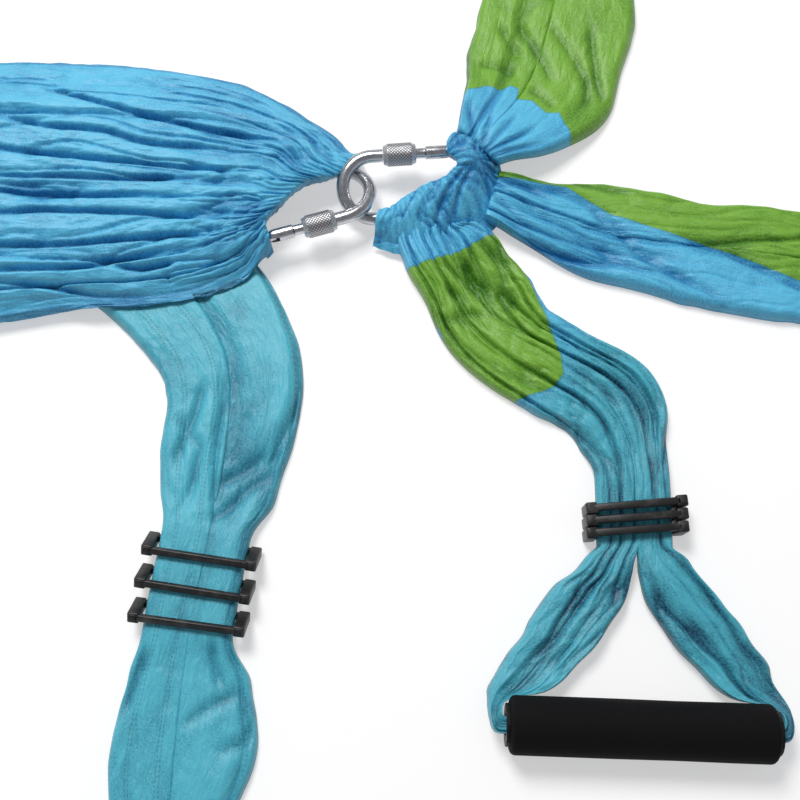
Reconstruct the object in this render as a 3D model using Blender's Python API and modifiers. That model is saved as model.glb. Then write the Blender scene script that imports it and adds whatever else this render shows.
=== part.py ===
# A single-point aerial hammock laid out flat on a floor, +Z up, metres.
# The cloth hangs by both gathered ends from one screw-lock link. A second link, threaded through
# the first, carries a gathered casing with three looped handle straps. Each loop is drawn in by
# three slide rings and passes through the tube of a foam-covered handle.
import math

import bmesh
import bpy
from mathutils import Matrix, Vector

# Fits
CLEARANCE = 0.0003
LOOSE_FIT = 0.0005
OVERRUN = 0.001
MERGE_DISTANCE = 0.00001

# Screw-lock links: bent wire, hinged gate, threaded sleeve
WIRE = 0.0085
LINK_LENGTH = 0.095
LINK_WIDTH = 0.0485
FAR_CORNER = 0.014
SLEEVE_SETBACK = 0.0316
SLEEVE_LENGTH = 0.021
SLEEVE_DIAMETER = 0.0146
SLEEVE_CHAMFER = 0.0014
NOSE_ENGAGEMENT = 0.003
TONGUE_THICKNESS = 0.0024
TONGUE_WIDTH = 0.0046
TONGUE_OFFSET = 0.0024
THREAD_LENGTH = 0.010
THREAD_CHAMFER = 0.0005
NECK_DIAMETER = 0.0066
NECK_LENGTH = 0.0107
HINGE_SETBACK = 0.072
TANG_THICKNESS = 0.0028
TANG_WIDTH = 0.0062
PIN_DIAMETER = 0.0026

# How the two links lie, threaded through each other
LINK_A_X = -0.0615
LINK_A_Y = 0.1265
LINK_A_YAW_DEG = 196.0
LINK_B_YAW_DEG = 4.0
INTERLOCK = 0.0262
INTERLOCK_RISE = 0.0036
LINK_CONTACT_GAP = 0.0016

# Gathered casings on the links
CASING_WALL = 0.0042
CASING_RUFFLE = 0.0009
SPINE_BARE_LENGTH = 0.0290

# Slide rings
RING_WINDOW = 0.0475
WIDE_RING_WINDOW = 0.0555
RING_END = 0.0068
RING_HEIGHT = 0.0180
RING_RAIL = 0.0034
RING_DEPTH = 0.0046
RING_LUG_DEPTH = 0.0060
RING_ROUNDING = 0.0008
RING_FLOOR_GAP = 0.0002

# Foam handles on a plastic tube with flanged end bushes
FOAM_DIAMETER = 0.033
FOAM_LENGTH = 0.150
FOAM_ROUNDING = 0.0035
TUBE_DIAMETER = 0.021
TUBE_WALL = 0.002
BUSH_FLANGE_DIAMETER = 0.024
BUSH_FLANGE = 0.0018
BUSH_SPIGOT = 0.008
BUSH_BORE = 0.0124

# Strap bands: each strap is one loop whose two runs lie side by side
RUN_GAP = 0.0005
RUN_WIDTH = 0.036
WIDE_RUN_WIDTH = 0.0465
RUN_ROOT_SHARE = 0.64
RUN_THICKNESS = 0.0095
RUN_RING_GAP = 0.0005
RUN_NARROW_THICKNESS = 0.0062
FLOOR_GAP = 0.0006
FLARE_SHARE = 2.0
RING_ZONE_LEAD = 0.016
LEG_WIDTH = 0.033
LEG_THICKNESS = 0.0060
LEG_DROP = 0.104
BUNDLE_DIAMETER = 0.0104
BUNDLE_TURN = 0.0062
PLEAT_DEPTH = 0.0016
STATION_STEP = 0.034

# Reach of each strap from the casing to where its runs part, and how its heading turns on the way.
# Each pair is a share of that reach and a heading in degrees.
SHORT_REACH = 0.254
SHORT_HEADING_SHARES = (
    (0.0, -86), (0.035, -64), (0.22, -57), (0.42, -29), (0.56, -36), (0.74, -76), (0.84, -90), (1.0, -92))
MIDDLE_REACH = 0.520
MIDDLE_HEADING_SHARES = ((0.0, -18), (0.2, -9), (0.40, -8), (0.62, -84), (0.9, -90), (1.0, -90))
LONG_REACH = 1.318
LONG_HEADING_SHARES = (
    (0.0, 50), (0.019, 50), (0.0379, 60), (0.0721, 74), (0.0986, 78), (0.1745, 180), (0.4135, 181),
    (0.4856, 268), (0.5539, 268), (0.6176, 350), (0.6654, 345), (0.7011, 328), (0.7261, 318),
    (0.7625, 300), (0.7967, 272), (0.8141, 263), (0.8816, 261), (0.9484, 267), (1.0, 268))

# Hammock cloth: its reach to the left of the link and the sizes of the folded pile
CLOTH_REACH = 0.600
CLOTH_WIDTH = 0.210
CLOTH_SHEET = 0.013
CLOTH_BRIDGE = 0.0165
PILE_HEIGHT = 0.064
CLOTH_FOLD = 0.0055
CLOTH_FOLDS = 7
POINTS_PER_FOLD = 4
# Rows of the cloth after the gather: share of the reach, low and high edge as shares of the width
# measured from the link's middle, and how far the row belongs to the pile.
CLOTH_ROW_SHARES = (
    (0.055, -0.300, 0.420, 0.0), (0.090, -0.335, 0.445, 0.0), (0.150, -0.350, 0.468, 0.0),
    (0.215, -0.360, 0.480, 0.0), (0.280, -0.379, 0.487, 0.0), (0.350, -0.398, 0.494, 0.08),
    (0.420, -0.421, 0.500, 0.35), (0.480, -0.435, 0.507, 0.55), (0.520, -0.445, 0.515, 0.72),
    (0.600, -0.450, 0.520, 0.90), (0.700, -0.452, 0.522, 1.0), (0.800, -0.45, 0.52, 1.0),
    (0.890, -0.445, 0.515, 0.97), (0.950, -0.43, 0.50, 0.84), (0.985, -0.41, 0.48, 0.62),
    (1.000, -0.39, 0.46, 0.36))
PILE_FOOT_SHARE = 0.500

STEEL = ("zinc_plated_steel", (0.42, 0.43, 0.45), 0.3, 1.0)
PLASTIC = ("black_moulded_plastic", (0.012, 0.011, 0.012), 0.38, 0.0)
FOAM = ("black_foam", (0.008, 0.008, 0.009), 0.9, 0.0)
SKY_CLOTH = ("sky_blue_nylon", (0.07, 0.36, 0.62), 0.55, 0.0)
GREEN_CLOTH = ("green_nylon", (0.14, 0.34, 0.05), 0.55, 0.0)
TEAL_CLOTH = ("teal_nylon", (0.05, 0.35, 0.45), 0.55, 0.0)


for existing in list(bpy.data.objects):
    bpy.data.objects.remove(existing, do_unlink=True)

parts = bpy.data.collections.new("aerial_hammock")
tools = bpy.data.collections.new("cutters")
bpy.context.scene.collection.children.link(parts)
bpy.context.scene.collection.children.link(tools)


def finish(obj, surface):
    """Give an object its material and smooth round faces."""
    name, colour, roughness, metallic = surface
    material = bpy.data.materials.get(name) or bpy.data.materials.new(name)
    material.use_nodes = True
    shader = material.node_tree.nodes["Principled BSDF"]
    shader.inputs["Base Color"].default_value = (*colour, 1.0)
    shader.inputs["Roughness"].default_value = roughness
    shader.inputs["Metallic"].default_value = metallic
    obj.data.materials.clear()
    obj.data.materials.append(material)
    if obj.type == "MESH":
        obj.data.shade_smooth()
        obj.data.set_sharp_from_angle(angle=math.radians(35))
    return obj


def empty(name, parent=None, matrix=None):
    guide = bpy.data.objects.new(name, None)
    parts.objects.link(guide)
    guide.parent = parent
    guide.matrix_local = matrix or Matrix()
    return guide


def place(obj, parent, matrix=None):
    obj.parent = parent
    obj.matrix_local = matrix or Matrix()
    return obj


def new_mesh_object(name, mesh, collection=None):
    obj = bpy.data.objects.new(name, mesh)
    (collection or parts).objects.link(obj)
    return obj


def turned(name, profile, sides, closed=False, collection=None):
    """Revolve a profile of (radius, height) points, given from top to bottom, about Z."""
    points = [(radius, 0.0, height) for radius, height in profile]
    edges = [(i, i + 1) for i in range(len(points) - 1)]
    if closed:
        edges.append((len(points) - 1, 0))
    mesh = bpy.data.meshes.new(name)
    mesh.from_pydata(points, edges, [])
    obj = new_mesh_object(name, mesh, collection)
    screw = obj.modifiers.new("turn", "SCREW")
    screw.steps = sides
    screw.render_steps = sides
    screw.use_merge_vertices = True
    screw.merge_threshold = MERGE_DISTANCE
    return obj


def block(name, size, centre=(0.0, 0.0, 0.0), collection=None):
    bm = bmesh.new()
    bmesh.ops.create_cube(bm, size=1.0, matrix=Matrix.Translation(centre) @ Matrix.Diagonal((*size, 1.0)))
    mesh = bpy.data.meshes.new(name)
    bm.to_mesh(mesh)
    bm.free()
    return new_mesh_object(name, mesh, collection)


def rod(name, diameter, length, centre=(0.0, 0.0, 0.0), sides=20, collection=None):
    bm = bmesh.new()
    bmesh.ops.create_cone(bm, cap_ends=True, segments=sides, radius1=diameter / 2, radius2=diameter / 2,
                          depth=length, matrix=Matrix.Translation(centre))
    mesh = bpy.data.meshes.new(name)
    bm.to_mesh(mesh)
    bm.free()
    return new_mesh_object(name, mesh, collection)


def combine(obj, tool, operation):
    """Cut or join with another object, which stays as a guide."""
    for collection in list(tool.users_collection):
        collection.objects.unlink(tool)
    tools.objects.link(tool)
    tool.hide_render = True
    tool.display_type = "WIRE"
    modifier = obj.modifiers.new(tool.name, "BOOLEAN")
    modifier.operation = operation
    modifier.solver = "EXACT"
    modifier.object = tool
    return obj


def settled(obj):
    """Turn an object with its modifiers, or a curve, into a plain closed mesh object."""
    bpy.context.view_layer.update()
    evaluated = obj.evaluated_get(bpy.context.evaluated_depsgraph_get())
    mesh = bpy.data.meshes.new_from_object(evaluated)
    bm = bmesh.new()
    bm.from_mesh(mesh)
    bmesh.ops.remove_doubles(bm, verts=bm.verts, dist=MERGE_DISTANCE)
    bmesh.ops.recalc_face_normals(bm, faces=bm.faces)
    bm.to_mesh(mesh)
    bm.free()
    name = obj.name
    result = bpy.data.objects.new(name + "_mesh", mesh)
    parts.objects.link(result)
    result.matrix_world = obj.matrix_world
    bpy.data.objects.remove(obj, do_unlink=True)
    result.name = name
    return result


def lattice(name, rows, ring=False):
    """Skin rows of points, each row a closed loop of an even count, whose second half runs back
    under the first. The ends are capped by strips between the halves, or joined as a ring."""
    bm = bmesh.new()
    loops = [[bm.verts.new(point) for point in row] for row in rows]
    count = len(loops[0])
    pairs = list(zip(loops, loops[1:]))
    if ring:
        pairs.append((loops[-1], loops[0]))
    else:
        for loop in (loops[0], loops[-1]):
            for i in range(count // 2 - 1):
                bm.faces.new((loop[i], loop[i + 1], loop[count - 2 - i], loop[count - 1 - i]))
    for first, second in pairs:
        for i in range(count):
            j = (i + 1) % count
            bm.faces.new((first[i], first[j], second[j], second[i]))
    bmesh.ops.recalc_face_normals(bm, faces=bm.faces)
    mesh = bpy.data.meshes.new(name)
    bm.to_mesh(mesh)
    bm.free()
    return new_mesh_object(name, mesh)


def mix(a, b, share):
    return a + (b - a) * share


def ease(share):
    share = min(max(share, 0.0), 1.0)
    return share * share * (3.0 - 2.0 * share)


def arc(centre_x, centre_y, radius, start_deg, end_deg, steps):
    angles = [math.radians(mix(start_deg, end_deg, i / steps)) for i in range(steps + 1)]
    return [Vector((centre_x + radius * math.cos(a), centre_y + radius * math.sin(a), 0.0)) for a in angles]


# Screw-lock link, in its own frame: the near bend at -X, the gate side at +Y, its flat along Z
half_wire = WIRE / 2
half_width = (LINK_WIDTH - WIRE) / 2
near_end = -LINK_LENGTH / 2
near_bend_x = near_end + half_wire + half_width
far_x = LINK_LENGTH / 2 - half_wire
far_corner_x = far_x - FAR_CORNER
far_corner_y = half_width - FAR_CORNER
hinge_x = near_end + HINGE_SETBACK
sleeve_near_x = near_end + SLEEVE_SETBACK
nose_x = sleeve_near_x - CLEARANCE
tongue_end_x = sleeve_near_x + NOSE_ENGAGEMENT
gate_tip = hinge_x - tongue_end_x - LOOSE_FIT
sleeve_bore = WIRE / 2 + CLEARANCE
sleeve_far = hinge_x - sleeve_near_x
sleeve_near = sleeve_far - SLEEVE_LENGTH
thread_top = gate_tip - NOSE_ENGAGEMENT
thread_bottom = thread_top - THREAD_LENGTH
neck_bottom = thread_bottom - NECK_LENGTH


def link_centre_line():
    """Centre line of the bent wire, from the nose round the near bend, spine and far bends."""
    points = [Vector((nose_x, half_width, 0.0))]
    points += arc(near_bend_x, 0.0, half_width, 90, 270, 16)
    points += arc(far_corner_x, -far_corner_y, FAR_CORNER, -90, 0, 6)
    points += arc(far_corner_x, far_corner_y, FAR_CORNER, 0, 90, 6)
    return points


def make_link_frame(name):
    curve = bpy.data.curves.new(name, "CURVE")
    curve.dimensions = "3D"
    curve.bevel_depth = half_wire
    curve.bevel_resolution = 3
    curve.use_fill_caps = True
    centre_line = link_centre_line()
    spline = curve.splines.new("POLY")
    spline.points.add(len(centre_line) - 1)
    for point, place_on_line in zip(spline.points, centre_line):
        point.co = (*place_on_line, 1.0)
    wire = bpy.data.objects.new(name, curve)
    parts.objects.link(wire)
    frame = settled(wire)
    tongue_length = tongue_end_x - nose_x + OVERRUN
    tongue_centre = (tongue_end_x - tongue_length / 2, half_width - TONGUE_OFFSET, 0.0)
    tongue = block(name + "_tongue", (tongue_length, TONGUE_THICKNESS, TONGUE_WIDTH), tongue_centre)
    tang_length = far_corner_x - hinge_x + OVERRUN
    tang_centre = (hinge_x + tang_length / 2, half_width, 0.0)
    tang = block(name + "_tang", (tang_length, TANG_WIDTH, TANG_THICKNESS), tang_centre)
    knuckle = rod(name + "_knuckle", TANG_WIDTH, TANG_THICKNESS, (hinge_x, half_width, 0.0))
    hole = rod(name + "_pin_hole", PIN_DIAMETER + 2 * CLEARANCE, WIRE, (hinge_x, half_width, 0.0), 16)
    combine(frame, tongue, "UNION")
    combine(frame, tang, "UNION")
    combine(frame, knuckle, "UNION")
    combine(frame, hole, "DIFFERENCE")
    return frame, (tongue, tang, knuckle, hole)


def make_gate(name):
    """Gate, turned about Z with its hinge ball at the origin and its threaded tip up."""
    root = NECK_DIAMETER / 2
    ball = [(half_wire * math.cos(math.radians(a)), -half_wire * math.sin(math.radians(a)))
            for a in (0, 22.5, 45, 67.5)]
    profile = [(0.0, gate_tip), (root - THREAD_CHAMFER, gate_tip), (root, gate_tip - THREAD_CHAMFER),
               (root, thread_top), (half_wire - THREAD_CHAMFER, thread_top),
               (half_wire, thread_top - THREAD_CHAMFER), (half_wire, thread_bottom + THREAD_CHAMFER),
               (half_wire - THREAD_CHAMFER, thread_bottom), (root, thread_bottom), (root, neck_bottom),
               (half_wire - THREAD_CHAMFER, neck_bottom), (half_wire, neck_bottom - THREAD_CHAMFER)]
    gate = turned(name, profile + ball + [(0.0, -half_wire)], 20)
    slot_reach = TANG_WIDTH / 2 + LOOSE_FIT
    slot_length = slot_reach + half_wire + OVERRUN
    slot_size = (WIRE + 2 * OVERRUN, TANG_THICKNESS + 2 * CLEARANCE, slot_length)
    slot = block(name + "_slot", slot_size, (0.0, 0.0, slot_reach - slot_length / 2))
    hole = rod(name + "_hole", PIN_DIAMETER + 2 * CLEARANCE, WIRE + 2 * OVERRUN, sides=16)
    combine(gate, slot, "DIFFERENCE")
    combine(gate, hole, "DIFFERENCE")
    return gate, slot, hole


def make_sleeve(name):
    """Threaded sleeve about Z, open at both ends, with chamfered rims."""
    outer = SLEEVE_DIAMETER / 2
    profile = [(sleeve_bore, sleeve_far), (outer - SLEEVE_CHAMFER, sleeve_far),
               (outer, sleeve_far - SLEEVE_CHAMFER), (outer, sleeve_near + SLEEVE_CHAMFER),
               (outer - SLEEVE_CHAMFER, sleeve_near), (sleeve_bore, sleeve_near)]
    return turned(name, profile, 28, closed=True)


def make_link(prefix, layout, matrix):
    """One whole link under an empty at its middle. The gate and its sleeve turn about the pin."""
    base = empty(prefix, layout, matrix)
    frame, frame_tools = make_link_frame(prefix + "_frame")
    for piece in (frame, *frame_tools):
        place(piece, base)
    finish(frame, STEEL)
    hinge = Matrix.Translation((hinge_x, half_width, 0.0))
    gate_axis = hinge @ Matrix.Rotation(math.radians(-90), 4, "Y")
    gate_base = empty(prefix + "_gate_axis", base, gate_axis @ Matrix.Rotation(math.radians(90), 4, "Z"))
    gate, slot, hole = make_gate(prefix + "_gate")
    place(gate, gate_base)
    place(slot, gate_base)
    place(hole, gate_base, Matrix.Rotation(math.radians(90), 4, "X"))
    place(finish(make_sleeve(prefix + "_sleeve"), STEEL), gate_base)
    finish(gate, STEEL)
    pin = rod(prefix + "_gate_pin", PIN_DIAMETER, WIRE - 2 * CLEARANCE, sides=12)
    place(finish(pin, STEEL), base, hinge)
    return base


# Lay of the links: each is rolled so that its gate side passes over the other link's spine side
casing_radius = half_wire + CLEARANCE + CASING_WALL
bend_spacing = INTERLOCK - WIRE
bend_offset = half_width - bend_spacing / 2
crossing = math.sqrt(half_width ** 2 - bend_offset ** 2)
link_roll = math.asin((WIRE + LINK_CONTACT_GAP) / (2 * crossing))
link_height = casing_radius + half_width * math.sin(link_roll)


def link_matrix(x, y, yaw_deg):
    turn = Matrix.Rotation(math.radians(yaw_deg), 4, "Z") @ Matrix.Rotation(link_roll, 4, "X")
    return Matrix.Translation((x, y, link_height)) @ turn


link_a = link_matrix(LINK_A_X, LINK_A_Y, LINK_A_YAW_DEG)
toward = Vector((math.cos(math.radians(LINK_A_YAW_DEG - 180)), math.sin(math.radians(LINK_A_YAW_DEG - 180))))
along_b = Vector((math.cos(math.radians(LINK_B_YAW_DEG)), math.sin(math.radians(LINK_B_YAW_DEG))))
tip_a = Vector((LINK_A_X, LINK_A_Y)) + toward * (LINK_LENGTH / 2)
centre_b = tip_a - toward * INTERLOCK + along_b * (LINK_LENGTH / 2)
link_b = link_matrix(centre_b.x, centre_b.y + INTERLOCK_RISE, LINK_B_YAW_DEG)

layout = empty("layout")
make_link("link_a", layout, link_a)
make_link("link_b", layout, link_b)


def casing_line(matrix):
    """Points on the link's wire that the casing covers, from the spine to beside the gate hinge."""
    start_x = near_end + SPINE_BARE_LENGTH
    points = [Vector((mix(start_x, far_corner_x, i / 4), -half_width, 0.0)) for i in range(4)]
    points += arc(far_corner_x, -far_corner_y, FAR_CORNER, -90, 0, 6)
    points += arc(far_corner_x, far_corner_y, FAR_CORNER, 0, 78, 5)
    return [matrix @ point for point in points]


def make_casing(name, matrix, surface):
    """Gathered tube of cloth round the wire, open at both ends, its wall ruffled along its length."""
    centre_line = casing_line(matrix)
    normal = (matrix.to_3x3() @ Vector((0.0, 0.0, 1.0))).normalized()
    sides = 12
    outer_rows, inner_rows = [], []
    for i, point in enumerate(centre_line):
        before = centre_line[max(i - 1, 0)]
        after = centre_line[min(i + 1, len(centre_line) - 1)]
        tangent = (after - before).normalized()
        across = tangent.cross(normal)
        ruffle = CASING_RUFFLE if i % 2 else 0.0
        outer, inner = [], []
        for j in range(sides):
            angle = 2 * math.pi * j / sides
            direction = math.cos(angle) * across + math.sin(angle) * normal
            outer.append(point + direction * (casing_radius - ruffle))
            inner.append(point + direction * (half_wire / math.cos(math.pi / sides) + CLEARANCE))
        outer_rows.append(outer)
        inner_rows.append(inner)
    casing = lattice(name, outer_rows + list(reversed(inner_rows)), ring=True)
    return place(finish(casing, surface), layout)


make_casing("hammock_casing", link_a, SKY_CLOTH)
make_casing("strap_casing", link_b, SKY_CLOTH)


def route(start, reach, heading_shares, steps=160):
    """Walk a strap's centre line from its start, turning as the table of headings says."""
    places, headings = [start.copy()], [heading_shares[0][1]]
    position = start.copy()
    for i in range(steps):
        share = (i + 0.5) / steps
        for (s0, h0), (s1, h1) in zip(heading_shares, heading_shares[1:]):
            if s0 <= share <= s1:
                heading = mix(h0, h1, (share - s0) / (s1 - s0))
        direction = Vector((math.cos(math.radians(heading)), math.sin(math.radians(heading)), 0.0))
        position = position + direction * (reach / steps)
        places.append(position.copy())
        headings.append(heading)
    headings[-1] = heading_shares[-1][1]
    return places, headings


def along(places, headings, share):
    spot = min(max(share, 0.0), 1.0) * (len(places) - 1)
    i = min(int(spot), len(places) - 2)
    heading = mix(headings[i], headings[i + 1], spot - i)
    return places[i].lerp(places[i + 1], spot - i), math.radians(heading)


def band_section(point, tangent, width, thickness, pleats):
    """One flattened cross-section of a band, square to its run, with a lengthwise fold on top."""
    side = Vector((tangent.y, -tangent.x, 0.0)).normalized()
    up = side.cross(tangent).normalized()
    section = []
    count = 10
    for j in range(count):
        angle = 2 * math.pi * (j + 0.5) / count
        across = math.copysign(abs(math.cos(angle)) ** 0.6, math.cos(angle))
        lift = math.copysign(abs(math.sin(angle)) ** 0.6, math.sin(angle))
        dip = pleats * (0.5 + 0.5 * math.cos(math.pi * across)) * max(lift, 0.0)
        section.append(point + side * (across * width / 2) + up * (lift * thickness / 2 - dip))
    return section


# Where the runs part, the legs reach out to the ends of the handle: lateral shares of the turn
# round the handle's end, and forward shares of the drop to the handle's axis.
LEG_SHARES = ((0.27, 0.16), (0.44, 0.34), (0.63, 0.51), (0.80, 0.655), (0.93, 0.775), (0.99, 0.875))
LEG_BUNDLING_SHARES = (0.15, 0.0, 0.0, 0.30, 0.72, 1.0)
handle_end = FOAM_LENGTH / 2 + CLEARANCE + BUSH_FLANGE
turn_x = handle_end + LOOSE_FIT
handle_height = FOAM_DIAMETER / 2
ring_middle = RING_HEIGHT / 2 + RING_FLOOR_GAP


def run_stations(right, start_height, centre_line, reach, setback, ring_zone, run_width, ring_window):
    """Stations of one run, to the right of the centre line (1) or to its left (-1)."""
    places, headings = centre_line
    narrow_width = ring_window / 2 - RUN_RING_GAP - RUN_GAP / 2
    stations = []
    narrow_share = 1.0 - ring_zone / reach
    root_share = FLARE_SHARE * run_width / reach
    flare_share = narrow_share - root_share
    count = round(reach / STATION_STEP)
    shares = sorted({i / count for i in range(count + 1)} | {root_share / 2, flare_share,
                    (flare_share + narrow_share) / 2, narrow_share})
    for share in shares:
        centre, heading = along(places, headings, share)
        rooted = ease(share / root_share)
        opened = ease((share - 1.0 + (setback - RING_ZONE_LEAD) / reach) / root_share)
        narrowed = ease((share - flare_share) / (narrow_share - flare_share)) * (1.0 - opened)
        width = mix(run_width * mix(RUN_ROOT_SHARE, 1.0, rooted), narrow_width, narrowed)
        thickness = mix(RUN_THICKNESS, RUN_NARROW_THICKNESS, narrowed)
        lying = mix(thickness / 2 + FLOOR_GAP, ring_middle, narrowed)
        side = Vector((math.sin(heading), -math.cos(heading), 0.0))
        point = centre + side * (right * (width + RUN_GAP) / 2)
        point.z = mix(max(start_height, lying), lying, rooted)
        direction = Vector((math.cos(heading), math.sin(heading), 0.0))
        pleats = PLEAT_DEPTH * rooted * (1.0 - narrowed)
        stations.append((point, direction, width, thickness, pleats))
    return stations


def leg_stations(right, end_place, heading):
    """Stations of one leg, from where the runs part, round the handle's end and to its middle."""
    forward = Vector((math.cos(heading), math.sin(heading), 0.0))
    side = Vector((math.sin(heading), -math.cos(heading), 0.0)) * right
    far_side = turn_x + BUNDLE_TURN
    stations = []
    for (side_share, drop_share), bundled in zip(LEG_SHARES, LEG_BUNDLING_SHARES):
        point = end_place + side * (far_side * side_share) + forward * (LEG_DROP * drop_share)
        point.z = mix(ring_middle, handle_height, ease(drop_share))
        width = mix(LEG_WIDTH, BUNDLE_DIAMETER, bundled)
        stations.append((point, None, width, mix(LEG_THICKNESS, BUNDLE_DIAMETER, bundled), 0.0))
    for degrees in (0, 22.5, 45, 67.5, 90):
        turn = math.radians(degrees)
        out = turn_x + BUNDLE_TURN * math.cos(turn)
        drop = LEG_DROP - BUNDLE_TURN + BUNDLE_TURN * math.sin(turn)
        point = end_place + side * out + forward * drop
        point.z = handle_height
        stations.append((point, None, BUNDLE_DIAMETER, BUNDLE_DIAMETER, 0.0))
    middle = end_place + forward * LEG_DROP
    middle.z = handle_height
    stations.append((middle, None, BUNDLE_DIAMETER, BUNDLE_DIAMETER, 0.0))
    return stations


def make_strap(name, start, centre_line, reach, surface, setback, ring_zone, run_width, ring_window):
    """One looped band: out along one run, round through the handle and back along the other."""
    end_place, end_heading = along(*centre_line, 1.0)
    halves = []
    for right in (1, -1):
        half = run_stations(right, start.z, centre_line, reach, setback, ring_zone, run_width, ring_window)
        halves.append(half + leg_stations(right, end_place, end_heading))
    stations = halves[0]
    for point, way, width, thickness, pleats in reversed(halves[1][:-1]):
        stations.append((point, -way if way else None, width, thickness, pleats))
    rows = []
    for i, (point, way, width, thickness, pleats) in enumerate(stations):
        before = stations[max(i - 1, 0)][0]
        after = stations[min(i + 1, len(stations) - 1)][0]
        rows.append(band_section(point, way or (after - before).normalized(), width, thickness, pleats))
    place(finish(lattice(name, rows), surface), layout)


def make_ring_mesh(window_width):
    """Slide ring: two rails joined by deeper end lugs, with rounded edges. The strap runs along Y."""
    width = window_width + 2 * RING_END
    ring = block("slide_ring", (width, RING_DEPTH, RING_HEIGHT))
    lug_x = (window_width + RING_END) / 2
    for side in (-1, 1):
        lug = block("slide_lug", (RING_END, RING_LUG_DEPTH, RING_HEIGHT), (side * lug_x, 0.0, 0.0))
        combine(ring, lug, "UNION")
    window_height = RING_HEIGHT - 2 * RING_RAIL
    window = block("slide_window", (window_width, RING_LUG_DEPTH + 2 * OVERRUN, window_height))
    combine(ring, window, "DIFFERENCE")
    rounding = ring.modifiers.new("rounding", "BEVEL")
    rounding.width = RING_ROUNDING
    rounding.segments = 1
    rounding.limit_method = "ANGLE"
    settled_ring = settled(ring)
    mesh = settled_ring.data
    bpy.data.objects.remove(settled_ring, do_unlink=True)
    return mesh


def make_handle(prefix, axis_matrix):
    """Foam grip on a plastic tube with a flanged bush in each end, all turned about one axis."""
    axis = empty(prefix + "_handle_axis", layout, axis_matrix)
    half = FOAM_LENGTH / 2
    foam_bore = TUBE_DIAMETER / 2 + CLEARANCE
    foam_outer = FOAM_DIAMETER / 2
    lip = FOAM_ROUNDING * (1.0 - math.sqrt(0.5))
    foam_profile = [(foam_bore, half), (foam_outer - FOAM_ROUNDING, half), (foam_outer - lip, half - lip),
                    (foam_outer, half - FOAM_ROUNDING), (foam_outer, FOAM_ROUNDING - half),
                    (foam_outer - lip, lip - half), (foam_outer - FOAM_ROUNDING, -half), (foam_bore, -half)]
    tube_outer = TUBE_DIAMETER / 2
    tube_inner = tube_outer - TUBE_WALL
    tube_profile = [(tube_inner, half), (tube_outer, half), (tube_outer, -half), (tube_inner, -half)]
    place(finish(turned(prefix + "_grip", foam_profile, 24, closed=True), FOAM), axis)
    place(finish(turned(prefix + "_tube", tube_profile, 20, closed=True), PLASTIC), axis)
    flange = BUSH_FLANGE_DIAMETER / 2
    spigot = tube_inner - CLEARANCE
    bore = BUSH_BORE / 2
    bush_profile = [(bore, BUSH_FLANGE), (flange, BUSH_FLANGE), (flange, 0.0), (spigot, 0.0),
                    (spigot, -BUSH_SPIGOT), (bore, -BUSH_SPIGOT)]
    for label, turn_deg in (("left", 180), ("right", 0)):
        bush = turned(f"{prefix}_{label}_bush", bush_profile, 20, closed=True)
        seat = Matrix.Rotation(math.radians(turn_deg), 4, "X") @ Matrix.Translation((0, 0, half + CLEARANCE))
        place(finish(bush, PLASTIC), axis, seat)


def make_strap_set(prefix, start, reach, heading_shares, surface, run_width, ring_window,
                   ring_pitch, ring_lean_deg, ring_setback):
    """A strap with its three slide rings and its handle."""
    centre_line = route(Vector((start.x, start.y, 0.0)), reach, heading_shares)
    ring_zone = ring_setback + 2 * ring_pitch + RING_ZONE_LEAD
    make_strap(prefix + "_strap", start, centre_line, reach, surface, ring_setback, ring_zone,
               run_width, ring_window)
    ring_mesh = make_ring_mesh(ring_window)
    for i in range(3):
        setback = ring_setback + (2 - i) * ring_pitch
        centre, heading = along(*centre_line, 1.0 - setback / reach)
        ring = new_mesh_object(f"{prefix}_ring_{i + 1}", ring_mesh)
        turn = Matrix.Rotation(heading - math.radians(90), 4, "Z")
        lean = Matrix.Rotation(math.radians(ring_lean_deg), 4, "X")
        height = Vector((0.0, 0.0, ring_middle))
        place(finish(ring, PLASTIC), layout, Matrix.Translation(centre + height) @ turn @ lean)
    end_place, end_heading = along(*centre_line, 1.0)
    forward = Vector((math.cos(end_heading), math.sin(end_heading), 0.0))
    centre = end_place + forward * LEG_DROP + Vector((0.0, 0.0, handle_height))
    turn = Matrix.Rotation(end_heading, 4, "Z") @ Matrix.Rotation(math.radians(90), 4, "X")
    make_handle(prefix, Matrix.Translation(centre) @ turn)


def casing_start(local_point, direction_deg):
    """Where a strap leaves the casing: out from a point of link B's wire."""
    direction = math.radians(direction_deg)
    local = local_point + Vector((math.cos(direction), math.sin(direction), 0.0)) * (casing_radius + LOOSE_FIT)
    return link_b @ local


def corner_point(side, angle_deg):
    angle = math.radians(angle_deg)
    return Vector((far_corner_x + FAR_CORNER * math.cos(angle),
                   side * far_corner_y + FAR_CORNER * math.sin(angle), 0.0))


SHORT_SPINE_SHARE = 0.68
LONG_CORNER_DEG = 46
MIDDLE_CORNER_DEG = -24
spine_point = Vector((mix(near_bend_x, far_corner_x, SHORT_SPINE_SHARE), -half_width, 0.0))
short_start = casing_start(spine_point, -90)
middle_start = casing_start(corner_point(-1, MIDDLE_CORNER_DEG), MIDDLE_CORNER_DEG)
long_start = casing_start(corner_point(1, LONG_CORNER_DEG), LONG_CORNER_DEG)

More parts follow.
